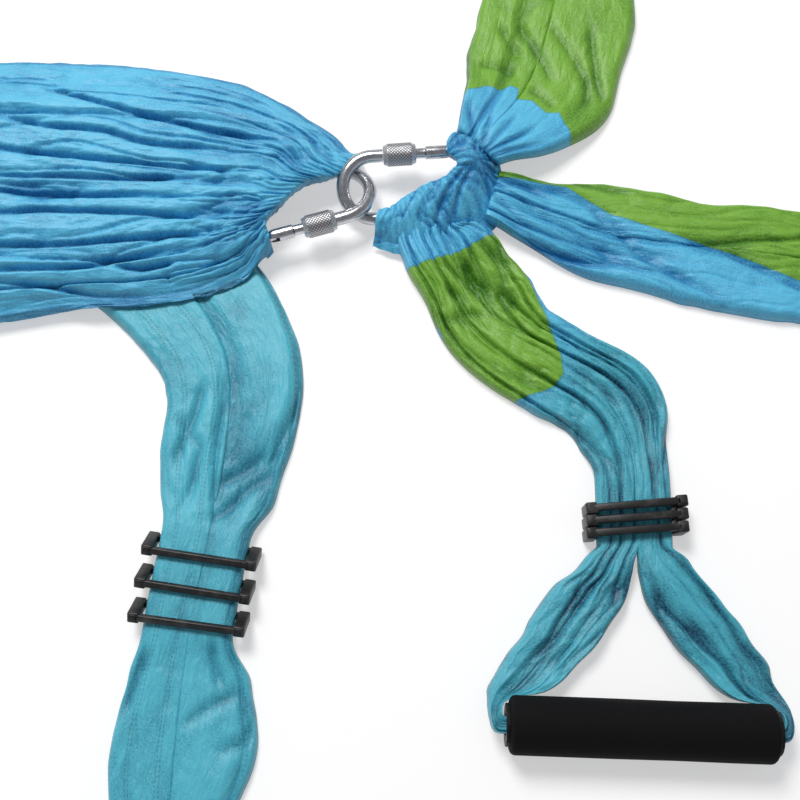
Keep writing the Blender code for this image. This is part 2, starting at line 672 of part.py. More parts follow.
CLOSE_PITCH = 0.0076
WIDE_PITCH = 0.0195
CLOSE_SETBACK = 0.0095
WIDE_SETBACK = 0.131
WIDE_LEAN_DEG = -24
make_strap_set("short", short_start, SHORT_REACH, SHORT_HEADING_SHARES, TEAL_CLOTH, RUN_WIDTH,
               RING_WINDOW, CLOSE_PITCH, 0, CLOSE_SETBACK)
make_strap_set("middle", middle_start, MIDDLE_REACH, MIDDLE_HEADING_SHARES, TEAL_CLOTH, RUN_WIDTH,
               RING_WINDOW, CLOSE_PITCH, 0, CLOSE_SETBACK)
make_strap_set("long", long_start, LONG_REACH, LONG_HEADING_SHARES, GREEN_CLOTH, WIDE_RUN_WIDTH,
               WIDE_RING_WINDOW, WIDE_PITCH, WIDE_LEAN_DEG, WIDE_SETBACK)


def make_cloth():
    """Hammock cloth: fanned out from the gather on link A, its length folded into a pile."""
    top_points = CLOTH_FOLDS * POINTS_PER_FOLD + 1
    gather = gather_line(top_points)
    rows = []
    lift = CLOTH_BRIDGE
    start_rows = [(0.0, 0.0, 0.0, 0.0)] + list(CLOTH_ROW_SHARES)
    for index, (reach_share, low_share, high_share, piled) in enumerate(start_rows):
        x = LINK_A_X - LINK_LENGTH / 2 - CLOTH_REACH * reach_share
        low = Vector((x, LINK_A_Y + CLOTH_WIDTH * low_share, 0.0))
        high = Vector((x, LINK_A_Y + CLOTH_WIDTH * high_share, 0.0))
        floor_height = mix(lift, FLOOR_GAP, ease((reach_share - PILE_FOOT_SHARE) / (1 - PILE_FOOT_SHARE) * 8))
        crown = mix(lift + CLOTH_SHEET, PILE_HEIGHT, ease(piled))
        top, under = [], []
        for j in range(top_points):
            v = j / (top_points - 1)
            edge = ease(min(v, 1 - v) * 7)
            wave = 0.5 + 0.5 * math.cos(2 * math.pi * CLOTH_FOLDS * v)
            fold = CLOTH_FOLD * wave * edge
            if index == 0:
                point = gather[j].copy()
                point.z = gather[j].z + CLOTH_SHEET / 2 - CLOTH_FOLD * wave / 2
            else:
                point = low.lerp(high, v)
                rounded = mix(floor_height + CLOTH_SHEET / 2, crown, edge)
                point.z = rounded - fold
            top.append(point)
            beneath = point.copy()
            beneath.z = max(point.z - CLOTH_SHEET, FLOOR_GAP) if index == 0 else floor_height
            under.insert(0, beneath)
        rows.append(top + under)
    cloth = lattice("hammock_cloth", rows)
    return place(finish(cloth, SKY_CLOTH), layout)


def gather_line(count):
    """Points just outside link A's casing, from the gate side round the far bend to the spine."""
    reach = casing_radius + LOOSE_FIT
    local = [Vector((far_corner_x - FAR_CORNER / 2, half_width + reach, 0.0))]
    local += arc(far_corner_x, far_corner_y, FAR_CORNER + reach, 90, 0, 8)
    local += arc(far_corner_x, -far_corner_y, FAR_CORNER + reach, 0, -90, 8)
    local += [Vector((near_end + SPINE_BARE_LENGTH, -half_width - reach, 0.0))]
    lengths = [0.0]
    for first, second in zip(local, local[1:]):
        lengths.append(lengths[-1] + (second - first).length)
    line = []
    for j in range(count):
        target = lengths[-1] * j / (count - 1)
        k = max(i for i in range(len(local) - 1) if lengths[i] <= target)
        share = min((target - lengths[k]) / (lengths[k + 1] - lengths[k]), 1.0)
        line.append(link_a @ local[k].lerp(local[k + 1], share))
    return line


make_cloth()

# The part stands with the middle of its box over the origin and its lowest point on the floor
bpy.context.view_layer.update()
graph = bpy.context.evaluated_depsgraph_get()
corners = []
for piece in parts.objects:
    if piece.type == "MESH":
        shape = piece.evaluated_get(graph)
        corners += [shape.matrix_world @ vertex.co for vertex in shape.data.vertices]
lowest = Vector(min(corner[k] for corner in corners) for k in range(3))
highest = Vector(max(corner[k] for corner in corners) for k in range(3))
middle = (lowest + highest) / 2
layout.location = (-middle.x, -middle.y, -lowest.z)
bpy.context.view_layer.update()
print("layout moved by", [round(value, 5) for value in layout.location])
print("size", [round(value, 4) for value in highest - lowest])
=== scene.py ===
import math
from types import SimpleNamespace

import bpy
import numpy as np
from mathutils import Matrix, Vector


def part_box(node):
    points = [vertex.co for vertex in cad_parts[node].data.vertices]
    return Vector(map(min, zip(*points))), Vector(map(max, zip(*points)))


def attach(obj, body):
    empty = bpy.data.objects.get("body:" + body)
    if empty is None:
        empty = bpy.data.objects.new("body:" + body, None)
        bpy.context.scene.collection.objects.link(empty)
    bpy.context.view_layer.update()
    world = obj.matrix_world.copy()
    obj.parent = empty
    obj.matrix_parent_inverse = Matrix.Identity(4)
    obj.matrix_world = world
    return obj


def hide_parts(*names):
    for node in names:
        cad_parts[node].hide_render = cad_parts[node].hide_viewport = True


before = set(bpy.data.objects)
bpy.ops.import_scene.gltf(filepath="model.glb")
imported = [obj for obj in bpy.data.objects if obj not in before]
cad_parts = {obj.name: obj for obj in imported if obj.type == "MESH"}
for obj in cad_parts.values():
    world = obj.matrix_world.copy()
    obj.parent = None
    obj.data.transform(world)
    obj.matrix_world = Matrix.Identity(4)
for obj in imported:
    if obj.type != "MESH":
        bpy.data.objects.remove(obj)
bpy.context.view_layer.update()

# Camera: it looks down on the laid-out hammock from 0.7 m, tilted 15 degrees, with the link pair
# near the top of the picture. Places in this file are measured from the ground point at the
# middle of that picture, and lay is that point in the frame.
LINK_B_CORNER = (-0.04103, 0.11461, 0.0045)
lay = Vector(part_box("link_b_frame")[0]) - Vector(LINK_B_CORNER)
CAMERA_REACH = 0.70
CAMERA_TILT = math.radians(15)
camera_data = bpy.data.cameras.new("close_camera")
camera_data.sensor_width = 36
camera_data.lens = 50.4
camera_data.clip_start = 0.02
camera = bpy.data.objects.new("close_camera", camera_data)
camera_place = Vector((0, -CAMERA_REACH * math.sin(CAMERA_TILT), CAMERA_REACH * math.cos(CAMERA_TILT)))
camera.location = lay + camera_place
camera.rotation_euler = (CAMERA_TILT, 0, 0)
bpy.context.scene.collection.objects.link(camera)
bpy.context.scene.camera = camera
bpy.context.scene.view_settings.view_transform = "Standard"

# Floor: a plain white sheet that keeps the shadow. Its own paint is pale, and it glows a little
# to whatever looks at it, so that the background is white and the steel mirrors it.
FLOOR_WIDTH = 60
FLOOR_PALE = (0.60, 0.60, 0.61, 1)
FLOOR_GLOW = 0.47


def maths(tree, operation, first, second=0.0, clamp=False):
    """One Math node. An input that is a number stays a number."""
    node = tree.nodes.new("ShaderNodeMath")
    node.operation = operation
    node.use_clamp = clamp
    for socket, value in zip(node.inputs, (first, second)):
        if isinstance(value, (int, float)):
            socket.default_value = value
        else:
            tree.links.new(value, socket)
    return node.outputs[0]


bpy.ops.object.select_all(action="DESELECT")
bpy.ops.mesh.primitive_plane_add(size=FLOOR_WIDTH, location=(lay.x, lay.y, 0))
floor = bpy.context.object
floor.name = "white_floor"
floor_paint = bpy.data.materials.new("white_floor_paint")
floor_paint.use_nodes = True
paint = floor_paint.node_tree
paint.nodes.clear()
floor_diffuse = paint.nodes.new("ShaderNodeBsdfDiffuse")
floor_diffuse.inputs["Color"].default_value = FLOOR_PALE
rays = paint.nodes.new("ShaderNodeLightPath").outputs
seen = maths(paint, "MAXIMUM", rays["Is Camera Ray"], rays["Is Glossy Ray"])
seen = maths(paint, "MAXIMUM", seen, rays["Is Transmission Ray"])
floor_glow = paint.nodes.new("ShaderNodeEmission")
floor_glow.inputs["Color"].default_value = (1, 1, 1, 1)
paint.links.new(maths(paint, "MULTIPLY", seen, FLOOR_GLOW), floor_glow.inputs["Strength"])
floor_sum = paint.nodes.new("ShaderNodeAddShader")
paint.links.new(floor_diffuse.outputs[0], floor_sum.inputs[0])
paint.links.new(floor_glow.outputs[0], floor_sum.inputs[1])
floor_output = paint.nodes.new("ShaderNodeOutputMaterial")
paint.links.new(floor_sum.outputs[0], floor_output.inputs["Surface"])
floor.data.materials.append(floor_paint)

# Light: one soft box high behind the picture's top left, and a studio dome that is pale near
# the horizon and darker overhead, which gives the steel its dark bands.
KEY_PLACE = Vector((-0.55, 1.15, 1.95))
DOME_TONES = ((0.0, (0.88, 0.88, 0.88, 1)), (0.38, (0.30, 0.305, 0.315, 1)), (1.0, (0.20, 0.205, 0.215, 1)))
key_data = bpy.data.lights.new("soft_box", "AREA")
key_data.shape = "SQUARE"
key_data.size = 0.8
key_data.energy = 46
key_data.color = (1.0, 0.985, 0.96)
key_light = bpy.data.objects.new("soft_box", key_data)
key_light.location = lay + KEY_PLACE
key_light.rotation_euler = (-KEY_PLACE).to_track_quat("-Z", "Y").to_euler()
bpy.context.scene.collection.objects.link(key_light)
dome = bpy.data.worlds.new("studio_dome")
dome.use_nodes = True
bpy.context.scene.world = dome
studio = dome.node_tree
dome_split = studio.nodes.new("ShaderNodeSeparateXYZ")
studio.links.new(studio.nodes.new("ShaderNodeTexCoord").outputs["Generated"], dome_split.inputs[0])
dome_ramp = studio.nodes.new("ShaderNodeValToRGB")
dome_ramp.color_ramp.elements.new(0.5)
for stop, (height, tone) in zip(dome_ramp.color_ramp.elements, DOME_TONES):
    stop.position = height
    stop.color = tone
studio.links.new(dome_split.outputs["Z"], dome_ramp.inputs[0])
studio.links.new(dome_ramp.outputs[0], studio.nodes["Background"].inputs["Color"])
studio.nodes["Background"].inputs["Strength"].default_value = 1.0


# Screw-lock links: two D-shaped links bent from 8.5 mm zinc-plated steel wire, each hooked
# through the other's near bend. One end of the wire is flattened to a tang with a round knuckle
# for the gate's hinge pin, and the gate closes on its other end, the nose.
WIRE_RADIUS = 0.00425
LINK_HALF_WIDTH = 0.020
NEAR_BEND_X = -0.02325
FAR_X = 0.04325
FAR_CORNER = 0.014
CORNER_X = FAR_X - FAR_CORNER
CORNER_Y = LINK_HALF_WIDTH - FAR_CORNER
HINGE_X = 0.0245
NOSE_X = -0.0162
TANG = (0.0068, 0.0061, 0.0028)
LINK_ROLL = math.radians(17.708)
LINK_HEIGHT = 0.014833
# Each link's place on the ground and its yaw in degrees
LINK_PLACES = {"link_a": (-0.0615, 0.1265, 196), "link_b": (0.006359, 0.139284, 4)}


def link_matrix(link):
    x, y, yaw = LINK_PLACES[link]
    turn = Matrix.Rotation(math.radians(yaw), 4, "Z") @ Matrix.Rotation(LINK_ROLL, 4, "X")
    return Matrix.Translation(lay + Vector((x, y, LINK_HEIGHT))) @ turn


def bend_points(centre_x, centre_y, radius, start, end, steps):
    """Points of a bend, between two directions in degrees."""
    angles = [math.radians(start + (end - start) * i / steps) for i in range(steps + 1)]
    return [Vector((centre_x + radius * math.cos(angle), centre_y + radius * math.sin(angle), 0))
            for angle in angles]


def only(piece):
    """Leave the hand on this piece alone, as clicking it does."""
    bpy.ops.object.select_all(action="DESELECT")
    piece.select_set(True)
    bpy.context.view_layer.objects.active = piece


def joined(pieces):
    """The first piece, with the others made one with it."""
    only(pieces[0])
    for piece in pieces[1:]:
        piece.select_set(True)
    bpy.ops.object.join()
    return pieces[0]


def swept_bar(name, points, radius):
    """A round bar along a line of points, closed at both ends."""
    line = bpy.data.curves.new(name, "CURVE")
    line.dimensions = "3D"
    line.bevel_depth = radius
    line.bevel_resolution = 7
    line.use_fill_caps = True
    spline = line.splines.new("POLY")
    spline.points.add(len(points) - 1)
    for knot, point in zip(spline.points, points):
        knot.co = (*point, 1)
    bar = bpy.data.objects.new(name, line)
    bpy.context.scene.collection.objects.link(bar)
    only(bar)
    bpy.ops.object.convert(target="MESH")
    return bpy.context.object


def block(centre, size):
    """A plain block, to be rounded, joined or cut with."""
    bpy.ops.mesh.primitive_cube_add(size=1, location=centre)
    piece = bpy.context.object
    piece.scale = size
    bpy.ops.object.transform_apply(location=True, rotation=True, scale=True)
    return piece


def rounded(piece, width, segments):
    """The piece with its edges eased."""
    soft = piece.modifiers.new("eased_edges", "BEVEL")
    soft.width = width
    soft.segments = segments
    only(piece)
    bpy.ops.object.modifier_apply(modifier="eased_edges")
    return piece


def face_outwards(piece, merge_within=0.0):
    """Merge doubled points and turn every face outwards."""
    only(piece)
    bpy.ops.object.mode_set(mode="EDIT")
    bpy.ops.mesh.select_all(action="SELECT")
    if merge_within:
        bpy.ops.mesh.remove_doubles(threshold=merge_within)
    bpy.ops.mesh.normals_make_consistent(inside=False)
    bpy.ops.object.mode_set(mode="OBJECT")


def turned_on_lathe(name, profile, steps):
    """A profile of (along X, radius) points spun round the X axis, marked with its turning angle."""
    mesh = bpy.data.meshes.new(name)
    edges = [(i, i + 1) for i in range(len(profile) - 1)]
    mesh.from_pydata([(x, radius, 0) for x, radius in profile], edges, [])
    piece = bpy.data.objects.new(name, mesh)
    bpy.context.scene.collection.objects.link(piece)
    only(piece)
    bpy.ops.object.mode_set(mode="EDIT")
    bpy.ops.mesh.select_all(action="SELECT")
    bpy.ops.mesh.spin(steps=steps, angle=2 * math.pi, center=(0, 0, 0), axis=(1, 0, 0))
    bpy.ops.object.mode_set(mode="OBJECT")
    face_outwards(piece, merge_within=0.000002)
    turned = mesh.attributes.new("turned", "FLOAT_VECTOR", "POINT")
    for vertex, entry in zip(mesh.vertices, turned.data):
        angle = math.atan2(vertex.co.z, vertex.co.y)
        entry.vector = (math.cos(angle), math.sin(angle), vertex.co.x)
    return piece


def coat(piece, material):
    """Give a piece this finish in place of the one it had."""
    piece.data.materials.clear()
    piece.data.materials.append(material)


def settle(piece, matrix, material):
    """Put a finished piece in its place, give it its finish and round its shading."""
    piece.data.transform(matrix)
    coat(piece, material)
    only(piece)
    bpy.ops.object.shade_smooth_by_angle(angle=math.radians(34))
    return piece


def new_finish(material_name):
    """A new material, with its tree and its Principled shader."""
    material = bpy.data.materials.new(material_name)
    material.use_nodes = True
    tree = material.node_tree
    return material, tree, tree.nodes["Principled BSDF"]


def weighed(tree, value, middle, weight, clamp=False):
    """How far a value is from its middle, times a weight."""
    return maths(tree, "MULTIPLY", maths(tree, "SUBTRACT", value, middle), weight, clamp)


def blended(tree, share, first, second):
    """A colour Mix node between two colours or colour sockets."""
    node = tree.nodes.new("ShaderNodeMix")
    node.data_type = "RGBA"
    for socket, value in ((node.inputs[0], share), (node.inputs[6], first), (node.inputs[7], second)):
        if isinstance(value, tuple):
            socket.default_value = (*value, 1)
        else:
            tree.links.new(value, socket)
    return node.outputs[2]


def noise(tree, vector, scale, detail):
    node = tree.nodes.new("ShaderNodeTexNoise")
    node.inputs["Scale"].default_value = scale
    node.inputs["Detail"].default_value = detail
    tree.links.new(vector, node.inputs["Vector"])
    return node.outputs["Fac"]


def marked(tree, mark):
    """What a mark on the mesh's points says."""
    node = tree.nodes.new("ShaderNodeAttribute")
    node.attribute_name = mark
    return node.outputs


def bumped(tree, shader, height, strength, distance):
    node = tree.nodes.new("ShaderNodeBump")
    node.inputs["Strength"].default_value = strength
    node.inputs["Distance"].default_value = distance
    tree.links.new(height, node.inputs["Height"])
    tree.links.new(node.outputs[0], shader.inputs["Normal"])


KNURL_AROUND = 11.0
KNURL_ALONG = 1520.0
# The knurl's tone on its tops, and the near-black painted shade in its grooves
KNURL_BRIGHT = (0.64, 0.64, 0.67)
KNURL_GROOVE_SHADE = (0.035, 0.037, 0.043)
ZINC_DULL = (0.46, 0.47, 0.50)
ZINC_BRIGHT = (0.68, 0.69, 0.73)


def knurl_grooves(tree, band):
    """1 in the grooves of a diamond knurl, within the band that is marked on the sleeve."""
    split = tree.nodes.new("ShaderNodeSeparateXYZ")
    tree.links.new(marked(tree, "turned")["Vector"], split.inputs[0])
    angle = maths(tree, "ARCTAN2", split.outputs[1], split.outputs[0])
    around = maths(tree, "MULTIPLY", angle, KNURL_AROUND)
    lengthwise = maths(tree, "MULTIPLY", split.outputs[2], KNURL_ALONG)
    one, other = (maths(tree, "ABSOLUTE", maths(tree, "SINE", maths(tree, way, around, lengthwise)))
                  for way in ("ADD", "SUBTRACT"))
    diamonds = maths(tree, "MULTIPLY", maths(tree, "MINIMUM", one, other), 1.15, True)
    return maths(tree, "MULTIPLY", maths(tree, "SUBTRACT", 1.0, diamonds), band)


def zinc_steel(name, knurled):
    """Bright zinc plate with faint mottling, drawn in streaks or cut with a knurl that has painted shade in
    its grooves.
    """
    material, tree, shader = new_finish(name)
    place = tree.nodes.new("ShaderNodeTexCoord").outputs["Object"]
    mottle = noise(tree, place, 260, 4)
    tone = blended(tree, weighed(tree, mottle, 0.30, 1.8, True), ZINC_DULL, ZINC_BRIGHT)
    rough = maths(tree, "ADD", maths(tree, "MULTIPLY", mottle, 0.12), 0.36 if knurled else 0.20)
    if knurled:
        band = marked(tree, "knurl")["Fac"]
        grooves = knurl_grooves(tree, band)
        # The grooves are painted near black as painted shade; the bump below cuts them as real relief.
        tone = blended(tree, grooves, blended(tree, band, tone, KNURL_BRIGHT), KNURL_GROOVE_SHADE)
        bumped(tree, shader, maths(tree, "MULTIPLY", grooves, -1.0), 0.55, 0.0003)
    else:
        streak = noise(tree, place, 1900, 2)
        bumped(tree, shader, maths(tree, "ADD", streak, mottle), 0.16, 0.00012)
    shader.inputs["Metallic"].default_value = 1.0
    tree.links.new(rough, shader.inputs["Roughness"])
    tree.links.new(tone, shader.inputs["Base Color"])
    return material


plain_steel = zinc_steel("zinc_plated_steel_drawn", False)
knurled_steel = zinc_steel("zinc_plated_steel_knurled", True)
wire_line = [Vector((NOSE_X, LINK_HALF_WIDTH, 0))]
wire_line += bend_points(NEAR_BEND_X, 0, LINK_HALF_WIDTH, 90, 270, 40)
wire_line += bend_points(CORNER_X, -CORNER_Y, FAR_CORNER, -90, 0, 14)
wire_line += bend_points(CORNER_X, CORNER_Y, FAR_CORNER, 0, 90, 14)
for link in LINK_PLACES:
    wire = swept_bar(link + "_bent_wire", wire_line, WIRE_RADIUS)
    tang = rounded(block(((HINGE_X + CORNER_X) / 2, LINK_HALF_WIDTH, 0), TANG), 0.0005, 2)
    bpy.ops.mesh.primitive_cylinder_add(vertices=32, radius=TANG[1] / 2, depth=TANG[2],
                                        location=(HINGE_X, LINK_HALF_WIDTH, 0))
    knuckle = bpy.context.object
    bpy.ops.object.transform_apply(location=True, rotation=True, scale=True)
    settle(joined([wire, tang, knuckle]), link_matrix(link), plain_steel)
    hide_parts(link + "_frame")
    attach(wire, "hammock" if link == "link_a" else "straps")
    coat(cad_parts[link + "_gate_pin"], plain_steel)

# Gate and sleeve: the gate is a steel rod turned on a lathe, slotted to fork over the tang, necked
# down and threaded. The knurled sleeve screws along the thread and up to the wire's nose.
THREAD_START = 0.0239
THREAD_PITCH = 0.00122
THREAD_TURNS = 8
THREAD_ROOT = 0.0035
THREAD_CREST = 0.00422
FORK_SLOT = (0.0096, 0.012, 0.0034)
FORK_SLOT_X = 0.0012
GATE_PROFILE = [(0.00425, 0.0), (0.0040, 0.0016), (0.0031, 0.0029), (0.0012, 0.0040), (-0.0006, 0.00425),
                (-0.0126, 0.00425), (-0.0132, 0.0037), (-0.0136, 0.0033), (-0.0236, 0.0033)]
for turn_number in range(THREAD_TURNS):
    turn_x = -THREAD_START - turn_number * THREAD_PITCH
    GATE_PROFILE += [(turn_x, THREAD_ROOT), (turn_x - 0.0005, THREAD_CREST), (turn_x - 0.0007, THREAD_CREST)]
GATE_PROFILE += [(-0.0341, 0.0033), (-0.0366, 0.0033), (-0.0369, 0.0029), (-0.0369, 0.0)]
SLEEVE_NEAR = -0.0404
SLEEVE_FAR = -0.0194
SLEEVE_RADIUS = 0.0073
# Each end of the sleeve as (depth from the end face, radius), from its bore outwards
SLEEVE_SHOULDER = [(0.0, 0.00455), (0.0, 0.0057), (0.0005, 0.0062), (0.0021, 0.0066), (0.0027, 0.0072)]
KNURL_START = 0.0029
KNURL_STEP = 0.00084
SLEEVE_PROFILE = [(SLEEVE_FAR - depth, radius) for depth, radius in SLEEVE_SHOULDER]
SLEEVE_PROFILE += [(SLEEVE_FAR - KNURL_START - i * KNURL_STEP, SLEEVE_RADIUS) for i in range(19)]
SLEEVE_PROFILE += [(SLEEVE_NEAR + depth, radius) for depth, radius in reversed(SLEEVE_SHOULDER)]
SLEEVE_PROFILE.append(SLEEVE_PROFILE[0])
for link in LINK_PLACES:
    hinge = link_matrix(link) @ Matrix.Translation((HINGE_X, LINK_HALF_WIDTH, 0))
    gate = turned_on_lathe(link + "_turned_gate", GATE_PROFILE, 40)
    fork = block((FORK_SLOT_X, 0, 0), FORK_SLOT)
    only(gate)
    slot = gate.modifiers.new("fork_slot", "BOOLEAN")
    slot.object = fork
    slot.operation = "DIFFERENCE"
    slot.solver = "EXACT"
    bpy.ops.object.modifier_apply(modifier="fork_slot")
    bpy.data.objects.remove(fork, do_unlink=True)
    settle(gate, hinge, plain_steel)
    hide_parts(link + "_gate")
    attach(gate, link + "_gate")
    sleeve = turned_on_lathe(link + "_knurled_sleeve", SLEEVE_PROFILE, 96)
    knurl = sleeve.data.attributes.new("knurl", "FLOAT", "POINT")
    for vertex, entry in zip(sleeve.data.vertices, knurl.data):
        radius = math.hypot(vertex.co.y, vertex.co.z)
        entry.value = 1.0 if radius > SLEEVE_RADIUS - 0.00005 else 0.0
    settle(sleeve, hinge, knurled_steel)
    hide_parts(link + "_sleeve")
    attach(sleeve, link + "_sleeve")


# Handle straps: three looped straps of crinkled nylon. Each goes out from the gathered casing in
# two runs side by side, through three slide rings, and in two legs to the ends of its handle.
# Its widths, outlines and creases are given in millimetres, as (right, away) on the ground.
def ease(share):
    """A soft step from 0 to 1."""
    share = np.clip(share, 0.0, 1.0)
    return share * share * (3.0 - 2.0 * share)


def rolled(share):
    """From 0 to 1 as a rolled edge rises, in a quarter circle."""
    return np.sqrt(np.clip(1 - (1 - np.clip(share, 0, 1)) ** 2, 0, 1))


ROUTE_STEPS = 160


def walk_route(start, reach, headings):
    """A strap's middle line, walked in equal steps: headings are (share of the reach, degrees)."""
    shares, degrees = zip(*headings)
    places, turns = [np.array(start)], [degrees[0]]
    for i in range(ROUTE_STEPS):
        heading = float(np.interp((i + 0.5) / ROUTE_STEPS, shares, degrees))
        step = np.array([math.cos(math.radians(heading)), math.sin(math.radians(heading))])
        places.append(places[-1] + step * reach / ROUTE_STEPS)
        turns.append(heading)
    turns[-1] = degrees[-1]
    return np.array(places), np.radians(np.array(turns, dtype=float))


def on_route(route, share):
    """Place and heading at a share of a route."""
    places, turns = route
    spot = np.clip(share, 0.0, 1.0) * (len(places) - 1)
    index = np.arange(len(places))
    x = np.interp(spot, index, places[:, 0])
    y = np.interp(spot, index, places[:, 1])
    return np.stack([x, y], -1), np.interp(spot, index, turns)


def value_noise(x, y, seed):
    """Smooth noise from 0 to 1 over a grid of unit cells, the same on every run."""
    xi, yi = np.floor(x).astype(np.int64), np.floor(y).astype(np.int64)
    fx, fy = x - xi, y - yi
    fx, fy = fx * fx * (3 - 2 * fx), fy * fy * (3 - 2 * fy)

    def corner(i, j):
        mixed = (i * 374761393 + j * 668265263 + seed * 974634777) & 0x7FFFFFFF
        mixed = ((mixed ^ (mixed >> 13)) * 1274126177) & 0x7FFFFFFF
        return ((mixed ^ (mixed >> 16)) & 0xFFFF) / 65535.0

    low = corner(xi, yi) * (1 - fx) + corner(xi + 1, yi) * fx
    high = corner(xi, yi + 1) * (1 - fx) + corner(xi + 1, yi + 1) * fx
    return low * (1 - fy) + high * fy


def wander(distance, pitch, lane, seed):
    """How an edge strays along its length, from -0.5 to 0.5."""
    return value_noise(distance / pitch, distance * 0 + lane, seed) - 0.5


def fold_backs(across, along, seed, width, length):
    """Lengthwise folds: 0 in the bottom of a crease and 1 on the back of a fold."""
    sway = value_noise(across / (width * 3.1), along / (length * 0.8), seed + 11) - 0.5
    drift = value_noise(across / (width * 0.9), along / (length * 0.45), seed + 23) - 0.5
    ridges = value_noise(across / width + 2.2 * sway, along / length + 0.5 * drift, seed)
    return np.clip(np.abs(2.0 * ridges - 1.0) * 2.6, 0.0, 1.0) ** 0.62


def smooth_rows(rows, counts):
    """Rows of numbers joined by a smooth curve, with so many steps in each gap."""
    rows = np.array(rows, dtype=float)
    padded = np.vstack([2 * rows[0] - rows[1], rows, 2 * rows[-1] - rows[-2]])
    result = []
    for i, count in enumerate(counts):
        p0, p1, p2, p3 = padded[i:i + 4]
        for k in range(count):
            t = k / count
            result.append(0.5 * (2 * p1 + (p2 - p0) * t + (2 * p0 - 5 * p1 + 4 * p2 - p3) * t * t
                                 + (3 * p1 - p0 - 3 * p2 + p3) * t ** 3))
    result.append(rows[-1])
    return np.array(result)


def along_edge(points, a, b):
    """For each point, its share along the edge from a to b and its distance from it."""
    edge = b - a
    share = np.clip(((points - a) @ edge) / (edge @ edge), 0, 1)
    return share, np.linalg.norm(points - a - share[:, None] * edge, axis=1)


def signed_reach(points, outline):
    """How far each point lies inside a closed outline, negative outside it."""
    outline = np.array(outline, dtype=float)
    nearest = np.full(len(points), 1e9)
    inside = np.zeros(len(points), dtype=bool)
    for a, b in zip(outline, np.roll(outline, -1, axis=0)):
        nearest = np.minimum(nearest, along_edge(points, a, b)[1])
        crosses = (a[1] > points[:, 1]) != (b[1] > points[:, 1])
        with np.errstate(divide="ignore", invalid="ignore"):
            x_there = a[0] + (points[:, 1] - a[1]) * (b[0] - a[0]) / (b[1] - a[1])
        inside ^= crosses & (points[:, 0] < x_there)
    return np.where(inside, nearest, -nearest)


def cloth_mesh(name, grid, uv, marks, closed, capped=False):
    """A mesh over a grid of points, with its UV in metres and its marks as point attributes."""
    rows, columns = grid.shape[:2]
    points = grid.reshape(-1, 3) + np.array(lay)
    faces = []
    last = columns if closed else columns - 1
    for i in range(rows - 1):
        for j in range(last):
            k = (j + 1) % columns
            faces.append((i * columns + j, (i + 1) * columns + j, (i + 1) * columns + k, i * columns + k))
    if capped:
        faces.append(tuple(range(columns)))
        faces.append(tuple(reversed(range((rows - 1) * columns, rows * columns))))
    mesh = bpy.data.meshes.new(name)
    mesh.from_pydata(points.tolist(), [], faces)
    layer = mesh.uv_layers.new(name="cut")
    corners = np.array([loop.vertex_index for loop in mesh.loops])
    layer.data.foreach_set("uv", uv.reshape(-1, 2)[corners].ravel())
    for mark, values in marks.items():
        attribute = mesh.attributes.new(mark, "FLOAT", "POINT")
        attribute.data.foreach_set("value", np.ascontiguousarray(values, dtype=np.float32).ravel())
    piece = bpy.data.objects.new(name, mesh)
    bpy.context.scene.collection.objects.link(piece)
    face_outwards(piece)
    bpy.ops.object.shade_smooth()
    return piece


def facets(tree, vector, scale):
    """Flat-sided dents with straight edges between them, as in crushed nylon."""
    node = tree.nodes.new("ShaderNodeTexVoronoi")
    node.feature = "F1"
    node.inputs["Scale"].default_value = scale
    tree.links.new(vector, node.inputs["Vector"])
    return node.outputs["Distance"]


def summed(tree, first, *others):
    for other in others:
        first = maths(tree, "ADD", first, other)
    return first


# How far the threads' wave turns in a metre of cloth, in radians
THREAD_WAVE = 8200.0


